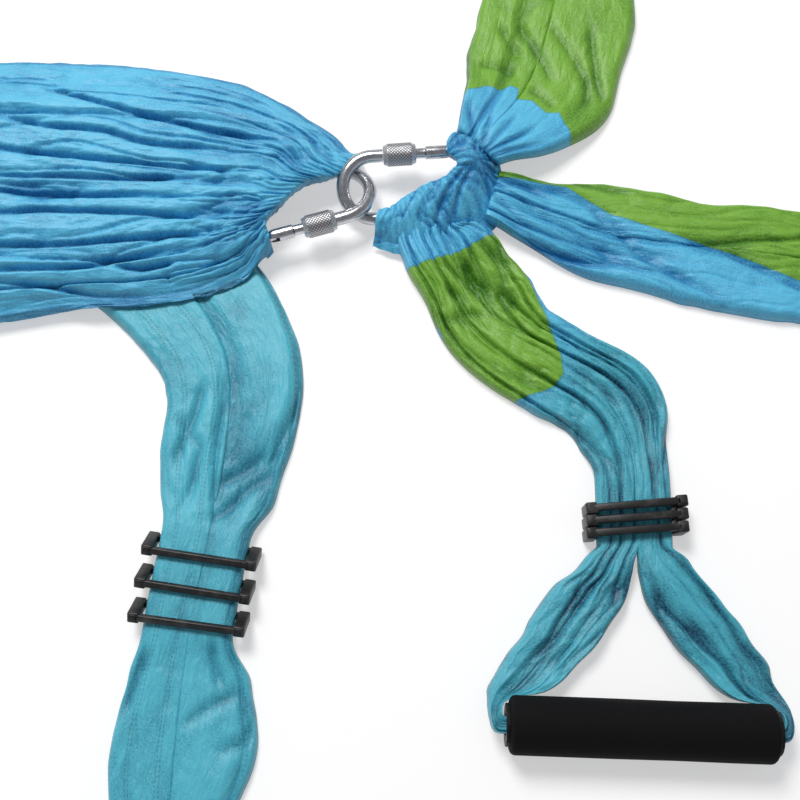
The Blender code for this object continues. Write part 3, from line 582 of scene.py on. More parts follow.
def woven_nylon_group():
    """Plain weave seen close: threads, slubs and fine crinkles, as a colour, a height and a gloss. The colour
    carries painted shade in folds, creases and crinkles.
    """
    group = bpy.data.node_groups.new("woven_nylon", "ShaderNodeTree")
    for way, label, kind in (("INPUT", "Cut", "Vector"), ("INPUT", "Cloth", "Color"),
                             ("INPUT", "Crease_shade", "Color"), ("INPUT", "Fold_shade", "Float"),
                             ("OUTPUT", "Colour", "Color"), ("OUTPUT", "Height", "Float"),
                             ("OUTPUT", "Roughness", "Float")):
        group.interface.new_socket(label, in_out=way, socket_type="NodeSocket" + kind)
    entry = group.nodes.new("NodeGroupInput").outputs
    leave = group.nodes.new("NodeGroupOutput").inputs
    split = group.nodes.new("ShaderNodeSeparateXYZ")
    group.links.new(entry["Cut"], split.inputs[0])
    weft, warp = (maths(group, "SINE", maths(group, "MULTIPLY", way, THREAD_WAVE))
                  for way in split.outputs[:2])
    threads = maths(group, "MULTIPLY", weft, warp)
    slubs = noise(group, entry["Cut"], 900, 2)
    patches = noise(group, entry["Cut"], 62, 4)
    stretched = group.nodes.new("ShaderNodeMapping")
    stretched.inputs["Scale"].default_value = (1.0, 0.30, 1.0)
    group.links.new(entry["Cut"], stretched.inputs["Vector"])
    crinkle = noise(group, stretched.outputs[0], 230, 5)
    creases = maths(group, "ABSOLUTE", maths(group, "SUBTRACT", crinkle, 0.5))
    sway = group.nodes.new("ShaderNodeTexNoise")
    sway.inputs["Scale"].default_value = 40
    group.links.new(entry["Cut"], sway.inputs["Vector"])
    bent_cut = group.nodes.new("ShaderNodeVectorMath")
    bent_cut.operation = "MULTIPLY_ADD"
    bent_cut.inputs[1].default_value = (0.020, 0.020, 0.0)
    group.links.new(sway.outputs["Color"], bent_cut.inputs[0])
    group.links.new(stretched.outputs[0], bent_cut.inputs[2])
    large, small = (facets(group, bent_cut.outputs[0], scale) for scale in (42, 105))
    crumples = summed(group, maths(group, "MULTIPLY", large, 0.7), maths(group, "MULTIPLY", small, 0.3))
    # The tone mixes the cloth's own patches, slubs and threads with painted shade: darker along the crinkle
    # lines, and lighter or darker across the crushed facets as light would fall on them.
    tone = summed(group, weighed(group, patches, 0.53, 1.5), weighed(group, slubs, 0.5, 2.3),
                  maths(group, "MULTIPLY", threads, 0.16), weighed(group, crumples, 0.42, 1.25),
                  weighed(group, creases, 0.06, 1.7))
    # The fold mark paints shade: where it is low, the colour turns to the crease shade colour.
    lit = maths(group, "SUBTRACT", entry["Fold_shade"], 0.13)
    share = maths(group, "ADD", lit, maths(group, "MULTIPLY", tone, 0.62), True)
    group.links.new(blended(group, share, entry["Crease_shade"], entry["Cloth"]), leave["Colour"])
    heights = ((threads, 0.05), (creases, 4.2), (slubs, 0.30), (crumples, 6.5))
    height = summed(group, *(maths(group, "MULTIPLY", part, weight) for part, weight in heights))
    group.links.new(height, leave["Height"])
    group.links.new(maths(group, "ADD", maths(group, "MULTIPLY", slubs, 0.30), 0.27), leave["Roughness"])
    return group


woven_nylon = woven_nylon_group()
# Each colour as the cloth's own tone and the painted shade in the bottom of its creases
SKY = ((0.104, 0.500, 0.765), (0.010, 0.165, 0.400))
GREEN = ((0.190, 0.425, 0.048), (0.026, 0.135, 0.006))
TEAL = ((0.086, 0.475, 0.615), (0.014, 0.160, 0.260))
DEEP_TEAL = ((0.072, 0.425, 0.550), (0.004, 0.050, 0.110))
SEWN_TONE = (0.012, 0.06, 0.09)
SEAM_LINE = 0.0005
STITCH_WAVE = 2300.0
PANEL_JOINT = 0.00035


def seam_lines(tree, cut, seams):
    """1 on the stitches of the seams, and 0 beside them."""
    split = tree.nodes.new("ShaderNodeSeparateXYZ")
    tree.links.new(cut, split.inputs[0])
    wave = maths(tree, "SINE", maths(tree, "MULTIPLY", split.outputs[1], STITCH_WAVE))
    stitches = maths(tree, "GREATER_THAN", wave, -0.35)
    sewn = 0.0
    for seam in seams:
        away = maths(tree, "ABSOLUTE", maths(tree, "SUBTRACT", split.outputs[0], seam))
        line = maths(tree, "MULTIPLY", maths(tree, "LESS_THAN", away, SEAM_LINE), stitches)
        sewn = maths(tree, "MAXIMUM", sewn, line)
    return sewn


def nylon(name, late_colours=None, seams=()):
    """Crinkled nylon on the cloth's own UV: sky blue, or green and blue panels that turn to the late
    colours. Seams are given by their places across the cut."""
    material, tree, shader = new_finish(name)
    cut = tree.nodes.new("ShaderNodeUVMap")
    cut.uv_map = "cut"
    weave = tree.nodes.new("ShaderNodeGroup")
    weave.node_tree = woven_nylon
    tree.links.new(cut.outputs[0], weave.inputs["Cut"])
    tree.links.new(marked(tree, "fold")["Fac"], weave.inputs["Fold_shade"])
    colour, height = weave.outputs["Colour"], weave.outputs["Height"]
    if late_colours:
        blue, teal = marked(tree, "blue")["Fac"], marked(tree, "teal")["Fac"]
        is_blue = maths(tree, "ADD", maths(tree, "MULTIPLY", blue, 3000.0), 0.5, True)
        for socket, sky, green, late in zip(("Cloth", "Crease_shade"), SKY, GREEN, late_colours):
            tone = blended(tree, is_blue, green, blended(tree, teal, sky, late))
            tree.links.new(tone, weave.inputs[socket])
        beside_joint = maths(tree, "ABSOLUTE", maths(tree, "SUBTRACT", blue, 0.0004))
        sewn = maths(tree, "LESS_THAN", beside_joint, PANEL_JOINT)
        if seams:
            late_seams = maths(tree, "MULTIPLY", seam_lines(tree, cut.outputs[0], seams), teal)
            sewn = maths(tree, "MAXIMUM", late_seams, sewn)
        colour = blended(tree, maths(tree, "MULTIPLY", sewn, 0.30), colour, SEWN_TONE)
        height = maths(tree, "SUBTRACT", height, maths(tree, "MULTIPLY", sewn, 0.9))
    else:
        for socket, sky in zip(("Cloth", "Crease_shade"), SKY):
            weave.inputs[socket].default_value = (*sky, 1)
    tree.links.new(colour, shader.inputs["Base Color"])
    tree.links.new(weave.outputs["Roughness"], shader.inputs["Roughness"])
    shader.inputs["Specular IOR Level"].default_value = 0.42
    shader.inputs["Sheen Weight"].default_value = 0.05
    shader.inputs["Sheen Roughness"].default_value = 0.4
    bumped(tree, shader, height, 0.62, 0.0006)
    return material


TOP_POINTS = 62
UNDER_POINTS = 12
LAP = 0.0030
CLEAR_OF_FLOOR = 0.0007
RING_LIFT = 0.0056
LAID_THICK = 0.0086
PINCHED_THICK = 0.0058
RING_LEAD_IN = 0.030
RING_LEAD_OUT = 0.026
ROOT_LENGTH = 0.075
OUTER_ROLL = 0.13
INNER_ROLL = 0.05
BACK_SEED = 517
# Outer and inner edge of a leg, as sideways and forward places from where the runs part, then
# the height of its underside and its thickness
LEG_ROWS = (((0.0305, 0.006), (0.0006, 0.010), 0.0050, 0.0070),
            ((0.0405, 0.018), (0.0035, 0.022), 0.0030, 0.0085),
            ((0.0515, 0.030), (0.0090, 0.036), 0.0016, 0.0095),
            ((0.0615, 0.044), (0.0180, 0.050), 0.0010, 0.0100),
            ((0.0715, 0.058), (0.0290, 0.064), 0.0010, 0.0100),
            ((0.0800, 0.072), (0.0405, 0.077), 0.0016, 0.0095),
            ((0.0850, 0.083), (0.0540, 0.0855), 0.0036, 0.0085),
            ((0.0870, 0.0905), (0.0680, 0.0880), 0.0068, 0.0085),
            ((0.0868, 0.0970), (0.0775, 0.0915), 0.0095, 0.0095),
            ((0.0856, 0.1030), (0.0790, 0.0965), 0.0110, 0.0108),
            ((0.0838, 0.1075), (0.0782, 0.0990), 0.0113, 0.0104),
            ((0.0800, 0.1091), (0.0772, 0.0989), 0.0114, 0.0102),
            ((0.0700, 0.1090), (0.0700, 0.0990), 0.0115, 0.0100))


def strap_half(strap, right, outer_widths):
    """Fine stations of one run and its leg: outer edge, inner edge, underside, thickness, fold depth
    and distance."""
    distance = np.linspace(0, strap.reach, int(strap.reach / strap.step) + 1)
    centre, heading = on_route(strap.route, distance / strap.reach)
    side = np.stack([np.sin(heading), -np.cos(heading)], -1) * right
    table = np.array(outer_widths) / 1000
    outer = np.interp(distance, table[:, 0], table[:, 1])
    outer = np.convolve(np.pad(outer, 4, mode="edge"), np.ones(9) / 9, "valid")
    in_rings = ease((distance - strap.rings_from + RING_LEAD_IN) / RING_LEAD_IN)
    narrowed = in_rings * (1 - ease((distance - strap.rings_to) / RING_LEAD_OUT))
    waves = wander(distance, 0.034, right, 5) * 0.0050 + wander(distance, 0.010, right, 9) * 0.0009
    outer = outer + waves * (1 - narrowed)
    squeezed = outer * (1 - narrowed) + strap.ring_half * narrowed
    outer = np.where(narrowed > 0.02, np.minimum(outer, squeezed), outer)
    inner = np.full_like(distance, LAP if right > 0 else -0.0004)
    rooted = ease(distance / ROOT_LENGTH)
    under = CLEAR_OF_FLOOR * (1 - narrowed) + RING_LIFT * narrowed
    under = under * rooted + max(strap.start_height - 0.004, 0.001) * (1 - rooted)
    thick = LAID_THICK * (1 - narrowed) + PINCHED_THICK * narrowed
    depth = strap.fold_depth * (1 - 0.72 * narrowed)
    run = np.column_stack([centre + side * outer[:, None], centre - side * inner[:, None],
                           under, thick, depth, distance])
    end_place, end_heading = on_route(strap.route, 1.0)
    forward = np.array([math.cos(end_heading), math.sin(end_heading)])
    across = np.array([math.sin(end_heading), -math.cos(end_heading)]) * right
    rows = [run[-2], run[-1]]
    for (outer_side, outer_drop), (inner_side, inner_drop), low, deep in LEG_ROWS:
        outside = end_place + across * outer_side + forward * outer_drop
        inside = end_place + across * inner_side + forward * inner_drop
        travelled = strap.reach + (outer_drop + inner_drop) / 2 * 1.25
        leg_folds = 0.0042 if low < 0.005 else 0.0016
        rows.append(np.array([*outside, *inside, low, deep, leg_folds, travelled]))
    counts = [1] + [max(2, int(np.linalg.norm((b - a)[:2]) / strap.step)) for a, b in zip(rows[1:], rows[2:])]
    leg = smooth_rows(rows, counts)[1:]
    spread = leg[:, 2:4] - leg[:, 0:2]
    leg_width = np.linalg.norm(spread, axis=1)[:, None]
    inwards = spread / leg_width
    open_share = ease((leg_width - 0.018) / 0.014)
    leg[:, 0:2] += inwards * (wander(leg[:, 7:8], 0.013, right, 31) * 0.0042 * open_share)
    leg[:, 2:4] += inwards * wander(leg[:, 7:8], 0.017, 0, 37) * 0.0030 * open_share
    return np.vstack([run[:-1], leg])


# Creases that run out from the pinch where the casing turns the corner of the link, with their
# depth, and the depth and width of a strap's own wrinkles
PINCH_DEPTH = 0.0026
WRINKLE_DEPTH = 0.0028
WRINKLE_WIDTH = 0.0032
PINCH_CREASES = (((49, 154), (48, 168), (46, 182), (45, 198)), ((50, 154), (54, 168), (58, 182), (63, 197)),
                 ((50, 154), (60, 166), (69, 178), (78, 188)), ((51, 154), (65, 163), (79, 172), (92, 180)),
                 ((51, 153), (66, 158), (82, 163), (100, 168)), ((51, 151), (66, 148), (84, 144), (108, 137)),
                 ((51, 150), (66, 143), (84, 136), (104, 126)), ((50, 149), (64, 138), (80, 128), (98, 116)),
                 ((49, 148), (60, 132), (73, 119), (88, 106)), ((46, 147), (40, 136), (36, 124), (34, 108)),
                 ((44, 147), (32, 134), (25, 120), (22, 104)))


def crease_depths(points, lines, width):
    """1 in the bottom of a listed crease, falling to 0 beside it and towards its ends."""
    depth = np.zeros(len(points))
    for line in lines:
        line = smooth_rows(np.array(line) / 1000, [6] * (len(line) - 1))
        low, high = line.min(axis=0) - 4 * width, line.max(axis=0) + 4 * width
        beside = np.all((points > low) & (points < high), axis=1)
        close = points[beside]
        reached = np.zeros(len(close))
        for k, (a, b) in enumerate(zip(line, line[1:])):
            share, away = along_edge(close, a, b)
            along = (k + share) / (len(line) - 1)
            tapered = ease((1 - along) * 3.0) * ease(0.35 + along * 4.0)
            reached = np.maximum(reached, np.exp(-(away / width) ** 2) * tapered)
        depth[beside] = np.maximum(depth[beside], reached)
    return depth


def pressed(grid, fold, lines, depth, width=0.0020, shade=0.68):
    """Press listed creases into a grid of points, and paint shade into their bottoms."""
    creased = crease_depths(grid[:, :, :2].reshape(-1, 2), lines, width).reshape(grid.shape[:2])
    grid[:, :, 2] = np.maximum(grid[:, :, 2] - creased * depth, CLEAR_OF_FLOOR)
    return grid, fold * (1 - shade * creased)


def strap_section(strap, stations, right, seed):
    """Points of one half: over the top from the outer edge to the inner one, and back beneath."""
    outer, inner = stations[:, 0:2], stations[:, 2:4]
    under, thick, depth, distance = (stations[:, k][:, None] for k in (4, 5, 6, 7))
    flat = np.ones_like(distance)
    across = np.linspace(0, 1, TOP_POINTS)[None, :]
    nominal = across * strap.cut_width
    pitch = strap.fold_pitch
    busy = min(1.0, 0.0100 / pitch)
    long_folds = fold_backs(nominal, distance, seed, pitch, 0.120 / busy) * (1.45 - 0.45 * busy)
    long_folds = np.clip(long_folds, 0, 1)
    short_folds = fold_backs(nominal, distance, seed + 40, pitch / 2, 0.045)
    fine_folds = fold_backs(nominal + distance * 0.5, distance, seed + 80, 0.0060, 0.014)
    edge = rolled(across / OUTER_ROLL) * (0.35 + 0.65 * rolled((1 - across) / INNER_ROLL))
    finer = 0.42 * (short_folds - 0.7) + 0.16 * (fine_folds - 0.7)
    relief = depth * (1.15 * (long_folds - 0.75) + busy * finer)
    top_z = np.maximum(under + thick * edge + relief * edge, under + 0.0006)
    lean = (value_noise(nominal / 0.006, distance / 0.05, seed + 5) - 0.5) * 0.0016 * edge
    direction = inner - outer
    share = across + lean / (np.linalg.norm(direction, axis=1)[:, None] + 1e-9)
    top_xy = outer[:, None, :] + direction[:, None, :] * share[:, :, None]
    below = np.linspace(1, 0, UNDER_POINTS + 2)[None, 1:-1]
    under_xy = outer[:, None, :] + direction[:, None, :] * below[:, :, None]
    under_z = under + 0.0004 * np.sin(below * 19) ** 2 * flat
    grid = np.concatenate([np.dstack([top_xy, top_z]), np.dstack([under_xy, under_z])], axis=1)
    # The fold mark is painted shade, darkest in the bottoms of the folds; straps with broad folds get less of
    # it past their roots, and the underside an even middling amount.
    fold = (0.60 * long_folds + busy * (0.28 * short_folds + 0.12 * fine_folds)) / (0.60 + 0.40 * busy)
    palest = 0.05 + 0.42 * (1 - busy) * ease((distance - 0.030) / 0.080)
    fold = palest + (1 - palest) * np.clip(fold * 1.10, 0, 1) ** 1.5
    fold = np.concatenate([fold, np.full((len(stations), UNDER_POINTS), 0.6)], axis=1)
    cut_across = np.concatenate([(1 - across) * flat, (1 - below) * flat], axis=1) * strap.cut_width * right
    return grid, fold, np.dstack([cut_across, distance * np.ones_like(cut_across)])


def sewn_strap(strap):
    """One strap, from its right-hand run over the handle and back along its left-hand run."""
    halves = []
    for right, outer_widths, seed in zip((1, -1), strap.widths, (strap.seed, strap.seed + BACK_SEED)):
        halves.append(strap_section(strap, strap_half(strap, right, outer_widths), right, seed))
    grid, fold, cut = (np.concatenate([out, back[::-1][1:]], axis=0) for out, back in zip(*halves))
    top = slice(3, TOP_POINTS - 2)
    root = int(0.080 / strap.step)
    if strap.pinched:
        for rows in (slice(0, root), slice(len(grid) - root, len(grid))):
            grid[rows, top], fold[rows, top] = pressed(grid[rows, top], fold[rows, top],
                                                       PINCH_CREASES, PINCH_DEPTH)
    grid[:, top], fold[:, top] = pressed(grid[:, top], fold[:, top], strap.wrinkles, WRINKLE_DEPTH,
                                         WRINKLE_WIDTH, 0.60)
    ground = grid[:, :, :2].reshape(-1, 2)
    distance = cut[:, :, 1].reshape(-1)
    blue = np.full(len(ground), -1.0)
    for outline in strap.blue_outlines:
        blue = np.maximum(blue, signed_reach(ground, np.array(outline) / 1000))
    blue = np.where(distance > strap.teal_to, 1.0, blue)
    teal = ease((distance - strap.teal_from) / (strap.teal_to - strap.teal_from))
    cloth = cloth_mesh(strap.name + "_strap_cloth", grid, cut, {"fold": fold, "blue": blue, "teal": teal},
                       closed=True, capped=True)
    cloth.data.materials.append(nylon(strap.name + "_strap_nylon", strap.late_colours, strap.seams))
    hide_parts(strap.name + "_strap")
    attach(cloth, "straps")
    return cloth


def laid_strap(reach, start, headings, **measures):
    """A strap's measures, with its route walked over the ground."""
    return SimpleNamespace(reach=reach, route=walk_route(start, reach, headings), **measures)


# A strap's widths are (distance, width beside the route), of its right-hand run and then of its
# left-hand one, and its start height is that of the casing it leaves. Between teal_from and teal_to
# its panels turn teal, and a pinched strap has the casing's creases in its root.
short_loop = laid_strap(
    name="short", reach=0.254, start_height=0.0085, step=0.0021, cut_width=0.036, seed=100,
    ring_half=0.0229, rings_from=0.212, rings_to=0.248, teal_from=0.090, teal_to=0.150,
    fold_depth=0.0054, fold_pitch=0.0095, pinched=False, seams=(), late_colours=DEEP_TEAL, slot="teal_nylon",
    start=(0.0207, 0.1124), headings=((0, -86), (.035, -64), (.22, -57), (.42, -29), (.56, -36), (.74, -76),
                                      (.84, -90), (1, -92)),
    widths=(((0, 25), (19, 27), (44, 26), (64, 29), (90, 33), (115, 35), (137, 32), (159, 29),
             (197, 26), (212, 23.0), (254, 23.0)), ((0, 20), (12, 32), (24, 38), (64, 38), (90, 35),
             (111, 32), (137, 33), (160, 36), (176, 34), (190, 27), (212, 23.0), (254, 23.0))),
    blue_outlines=(((-24, 125), (-14, 101), (3.2, 82.1), (21, 89.5), (40.8, 96.4), (63.4, 109.4),
                    (60, 135)), ((63.9, 107.3), (81, 78.7), (94, 45), (100, 25), (101, 14), (94, 5),
                    (70, -3), (36, -9), (30, -140), (260, -140), (200, 60), (120, 110)),
                   ((-4, 92), (6, 76), (16, 58), (27, 39), (20, 30), (-4, 62))),
    wrinkles=(((42, 89), (47, 77), (55, 66), (66, 42)), ((28, 71), (39, 63), (41, 48), (52, 42)),
              ((53, 101), (64, 83), (69, 60), (77, 40)), ((61, 63), (69, 68), (76, 54)),
              ((31, 48), (44, 54), (55, 48))))
short_strap = sewn_strap(short_loop)

middle_loop = laid_strap(
    name="middle", reach=0.520, start_height=0.012, step=0.0027, cut_width=0.038, seed=200,
    ring_half=0.0229, rings_from=0.478, rings_to=0.514, teal_from=0.300, teal_to=0.400,
    fold_depth=0.0038, fold_pitch=0.0140, pinched=True, seams=(), late_colours=DEEP_TEAL, slot="teal_nylon",
    start=(0.0578, 0.1281), headings=((0, -18), (.2, -9), (.40, -8), (.62, -84), (.9, -90), (1, -90)),
    widths=(((0, 13), (13, 15), (36, 22), (78, 31), (120, 37), (176, 40), (230, 38), (300, 36),
             (430, 34), (478, 23.0), (520, 23.0)), ((0, 20), (6, 23), (42, 28), (78, 35), (104, 39),
             (150, 33), (198, 37), (300, 36), (430, 34), (478, 23.0), (520, 23.0))),
    blue_outlines=(((30, 146), (66.7, 144.4), (90.6, 141.5), (108.6, 138.7), (136.9, 121.2),
                    (172.1, 108.7), (213.8, 94.3), (252.7, 76), (290, 66), (330, 60), (400, 60),
                    (400, -350), (200, -350), (20, 40)),),
    wrinkles=(((71, 140), (94, 137), (110, 133), (124, 125), (136, 108), (147, 89)),
              ((68, 128), (87, 119), (109, 110), (136, 92), (155, 83), (180, 77)),
              ((62, 119), (87, 101), (114, 89), (142, 86)), ((132, 125), (145, 104), (164, 86),
               (190, 71), (222, 54)), ((131, 101), (136, 89), (147, 92)), ((111, 142), (133, 140),
               (153, 134))))
middle_strap = sewn_strap(middle_loop)

# The long strap's headings in degrees, by the distance along it in millimetres
LONG_TURNS = ((0, 50), (25, 50), (50, 60), (95, 74), (130, 78), (230, 180), (545, 181), (640, 268),
              (730, 268), (814, 350), (877, 345), (924, 328), (957, 318), (1005, 300), (1050, 272),
              (1073, 263), (1162, 261), (1250, 267), (1318, 268))
long_loop = laid_strap(
    name="long", reach=1.318, start_height=0.020, step=0.0032, cut_width=0.0465, seed=300,
    ring_half=0.0268, rings_from=1.143, rings_to=1.193, teal_from=0.560, teal_to=0.760,
    fold_depth=0.0036, fold_pitch=0.0260, pinched=True, late_colours=TEAL, slot="green_nylon",
    seams=(0.0305, 0.0330, 0.0100, 0.0125, -0.0425),
    start=(0.050, 0.164), headings=[(place / 1318, turn) for place, turn in LONG_TURNS],
    widths=(((0, 17), (20, 33), (41, 45), (66, 57), (91, 54), (115, 59), (150, 52), (230, 46),
             (900, 46), (990, 44), (1030, 41), (1120, 33), (1143, 26.8), (1196, 26.8), (1236, 32),
             (1266, 36), (1290, 33), (1318, 26)), ((0, 13), (8, 18), (25, 35), (74, 48), (115, 53),
             (150, 50), (230, 46), (900, 46), (1030, 50), (1063, 46.5), (1096, 38), (1120, 34),
             (1143, 26.8), (1192, 26.8), (1206, 36), (1227, 45), (1266, 49), (1290, 40), (1318, 26))),
    blue_outlines=(((20, 140), (36.0, 177.7), (40.3, 204.7), (47, 206), (57.5, 209.9), (66, 209),
                    (73.5, 212.1), (78.7, 209.9), (77.1, 201.0), (87.0, 201.0), (95.9, 191.5),
                    (104.5, 192.2), (108.1, 182.8), (110.6, 179.1), (112.8, 168.3), (90, 140)),),
    wrinkles=(((80, 264), (90, 242), (99, 224), (101, 213)), ((101, 262), (114, 239), (124, 216),
               (122, 200), (112, 189)), ((128, 259), (130, 236), (132, 213), (140, 193)),
              ((53, 229), (70, 226), (80, 216)), ((86, 211), (96, 202), (102, 193)),
              ((68, 259), (74, 246), (85, 229)), ((-122, 7), (-126, -12), (-134, -34), (-136, -52)),
              ((-135, -15), (-127, -27), (-122, -35), (-127, -62), (-135, -77)),
              ((-57, 11), (-66, -12), (-76, -37), (-79, -48)), ((-77, -48), (-91, -58), (-105, -72),
               (-119, -78)), ((-109, -55), (-91, -45), (-76, -31)), ((-110, -147), (-107, -164),
               (-101, -178)), ((-92, -144), (-96, -154), (-87, -164), (-80, -171)),
              ((-123, -194), (-104, -182), (-89, -176)), ((-103, -209), (-89, -204), (-80, -189)),
              ((-158, -189), (-152, -167), (-147, -150))))
long_strap = sewn_strap(long_loop)


# Slide rings: nine moulded black plastic rings, three on each strap, that pinch its two runs
# together. Each is two rails between deeper end lugs, with rounded edges.
RING_HEIGHT = 0.0180
RING_RAIL = 0.0034
RING_DEPTH = 0.0046
RING_LUG = 0.0068
RING_MIDDLE = 0.0092
PLASTIC_BLACK = (0.010, 0.0095, 0.0105)


def matt_plastic(name, shine, worn_tone):
    """Black plastic with a fine grain, scuffed to a paler tone in places."""
    material, tree, shader = new_finish(name)
    place = tree.nodes.new("ShaderNodeTexCoord").outputs["Object"]
    grain = noise(tree, place, 1500, 3)
    scuffs = noise(tree, place, 120, 5)
    tone = blended(tree, weighed(tree, scuffs, 0.48, 1.6, True), PLASTIC_BLACK, worn_tone)
    tree.links.new(tone, shader.inputs["Base Color"])
    rough = maths(tree, "ADD", maths(tree, "MULTIPLY", scuffs, 0.25), 0.30)
    tree.links.new(rough, shader.inputs["Roughness"])
    shader.inputs["Specular IOR Level"].default_value = shine
    bumped(tree, shader, grain, 0.25, 0.00015)
    return material


ring_plastic = matt_plastic("moulded_black_plastic", 0.5, (0.105, 0.094, 0.094))


def moulded_ring(name, window):
    """Two rails, two lugs and a low ridge on each lug, rounded and joined as the mould shapes them."""
    half = window / 2 + RING_LUG / 2
    rails = [((0, 0, side * (RING_HEIGHT - RING_RAIL) / 2), (window + RING_LUG, RING_DEPTH, RING_RAIL))
             for side in (-1, 1)]
    lugs = [((side * half, 0, 0), (RING_LUG, RING_LUG, RING_HEIGHT)) for side in (-1, 1)]
    ridge = (RING_LUG * 0.62, RING_LUG * 0.72, 0.0012)
    ridges = [((side * (half + 0.0006), 0, RING_HEIGHT / 2 - 0.0003), ridge) for side in (-1, 1)]
    blocks = [rounded(block(centre, size), 0.0010 if size[2] > 0.002 else 0.0004, 3)
              for centre, size in rails + lugs + ridges]
    ring = joined(blocks)
    ring.name = name
    return ring


# Each strap's rings: window, pitch, lean and skew in degrees, and the last ring's distance from
# where the runs part
RING_SETS = ((short_loop, 0.0475, 0.0076, 0, 5.5, 0.0095),
             (middle_loop, 0.0475, 0.0076, 0, 0, 0.0095),
             (long_loop, 0.0555, 0.0195, -38, 0, 0.131))
for strap, window, pitch, lean_deg, skew_deg, setback in RING_SETS:
    for i in range(3):
        centre, heading = on_route(strap.route, 1 - (setback + (2 - i) * pitch) / strap.reach)
        turn = Matrix.Rotation(float(heading) - math.radians(90 - skew_deg), 4, "Z")
        lean = Matrix.Rotation(math.radians(lean_deg), 4, "X")
        place = Matrix.Translation(lay + Vector((centre[0], centre[1], RING_MIDDLE)))
        ring = settle(moulded_ring(f"{strap.name}_slide_{i + 1}", window), place @ turn @ lean, ring_plastic)
        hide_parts(f"{strap.name}_ring_{i + 1}")
        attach(ring, f"{strap.name}_ring_{i + 1}")


# Handles: a black foam grip on a plastic tube with a flanged bush in each end. The foam is cut
# with rounded ends and has a fine closed skin; it turns with its tube and bushes.
FOAM_HALF = 0.075
FOAM_RADIUS = 0.0165
FOAM_BORE = 0.0108
FOAM_ROUND = 0.0035
HANDLE_DROP = 0.104


def foam_skin(name):
    """Dull black foam, pored and softly dented."""
    material, tree, shader = new_finish(name)
    place = tree.nodes.new("ShaderNodeTexCoord").outputs["Object"]
    pores = noise(tree, place, 2300, 4)
    dents = noise(tree, place, 160, 3)
    dust = weighed(tree, pores, 0.5, 2.4, True)
    tone = blended(tree, dust, (0.0034, 0.0034, 0.0042), (0.0125, 0.0125, 0.0145))
    tree.links.new(tone, shader.inputs["Base Color"])
    rough = maths(tree, "ADD", maths(tree, "MULTIPLY", pores, 0.2), 0.72)
    tree.links.new(rough, shader.inputs["Roughness"])
    shader.inputs["Specular IOR Level"].default_value = 0.14
    bumped(tree, shader, maths(tree, "ADD", pores, maths(tree, "MULTIPLY", dents, 0.8)), 0.4, 0.0003)
    return material


grip_foam = foam_skin("closed_cell_foam")
bush_plastic = matt_plastic("dull_black_plastic", 0.12, (0.020, 0.019, 0.020))
# The rounding of an end as (depth from the end face, radius)
grip_end = [(FOAM_ROUND * (1 - math.cos(math.radians(15 * k))),
             FOAM_RADIUS - FOAM_ROUND + FOAM_ROUND * math.sin(math.radians(15 * k))) for k in range(7)]
grip_profile = [(-FOAM_HALF, FOAM_BORE)] + [(-FOAM_HALF + depth, radius) for depth, radius in grip_end]
grip_profile += [(-0.050, FOAM_RADIUS), (-0.020, FOAM_RADIUS - 0.0002)]
grip_profile += [(0.015, FOAM_RADIUS), (0.048, FOAM_RADIUS)]
grip_profile += [(FOAM_HALF - depth, radius) for depth, radius in reversed(grip_end)]
grip_profile += [(FOAM_HALF, FOAM_BORE), (-FOAM_HALF, FOAM_BORE)]
for strap in (short_loop, middle_loop, long_loop):
    end_place, end_heading = on_route(strap.route, 1.0)
    forward = Vector((math.cos(end_heading), math.sin(end_heading), 0))
    centre = lay + Vector((end_place[0], end_place[1], FOAM_RADIUS)) + forward * HANDLE_DROP
    across = Matrix.Rotation(float(end_heading) - math.radians(90), 4, "Z")
    grip = turned_on_lathe(strap.name + "_foam_grip", grip_profile, 72)
    settle(grip, Matrix.Translation(centre) @ across, grip_foam)
    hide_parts(strap.name + "_grip")
    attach(grip, strap.name + "_handle")
    for plastic_node in ("_tube", "_left_bush", "_right_bush"):
        coat(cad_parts[strap.name + plastic_node], bush_plastic)


# Strap casing: the straps' blue tops, sewn into one casing and gathered tightly on link B's far
# bend. The ruffles run out from the wire and pinch together beside the corner. Its edges, from the
# wire outwards, and the cloth's rows below are in millimetres, as (right, away, up).
CASING_INNER = ((-13.4, 121.7, 15), (-5.1, 123.1, 17), (7.7, 131.4, 19), (19.2, 137.0, 22),
                (29.4, 140.5, 25), (36.6, 146.8, 28), (37.4, 150.8, 29), (35.4, 154.1, 29),
                (31.5, 157.5, 28), (30.5, 165.0, 26))
CASING_CREST = ((-15.5, 114.0, 17), (-3.0, 113.5, 19), (11.0, 120.5, 20), (24.5, 127.0, 23),
                (37.5, 134.0, 26), (46.5, 146.0, 28), (47.5, 152.5, 28.5), (45.0, 158.0, 30),
                (39.5, 165.0, 29), (34.0, 171.0, 25))
CASING_OUTER = ((-17.5, 101.5, 4), (-1.0, 95.5, 4), (17.0, 96.5, 5), (38.0, 102.0, 5), (60.0, 112.0, 5),
                (68.0, 132.0, 7), (67.0, 147.0, 9), (62.0, 163.0, 14), (52.0, 174.0, 13),
                (37.0, 180.0, 9))


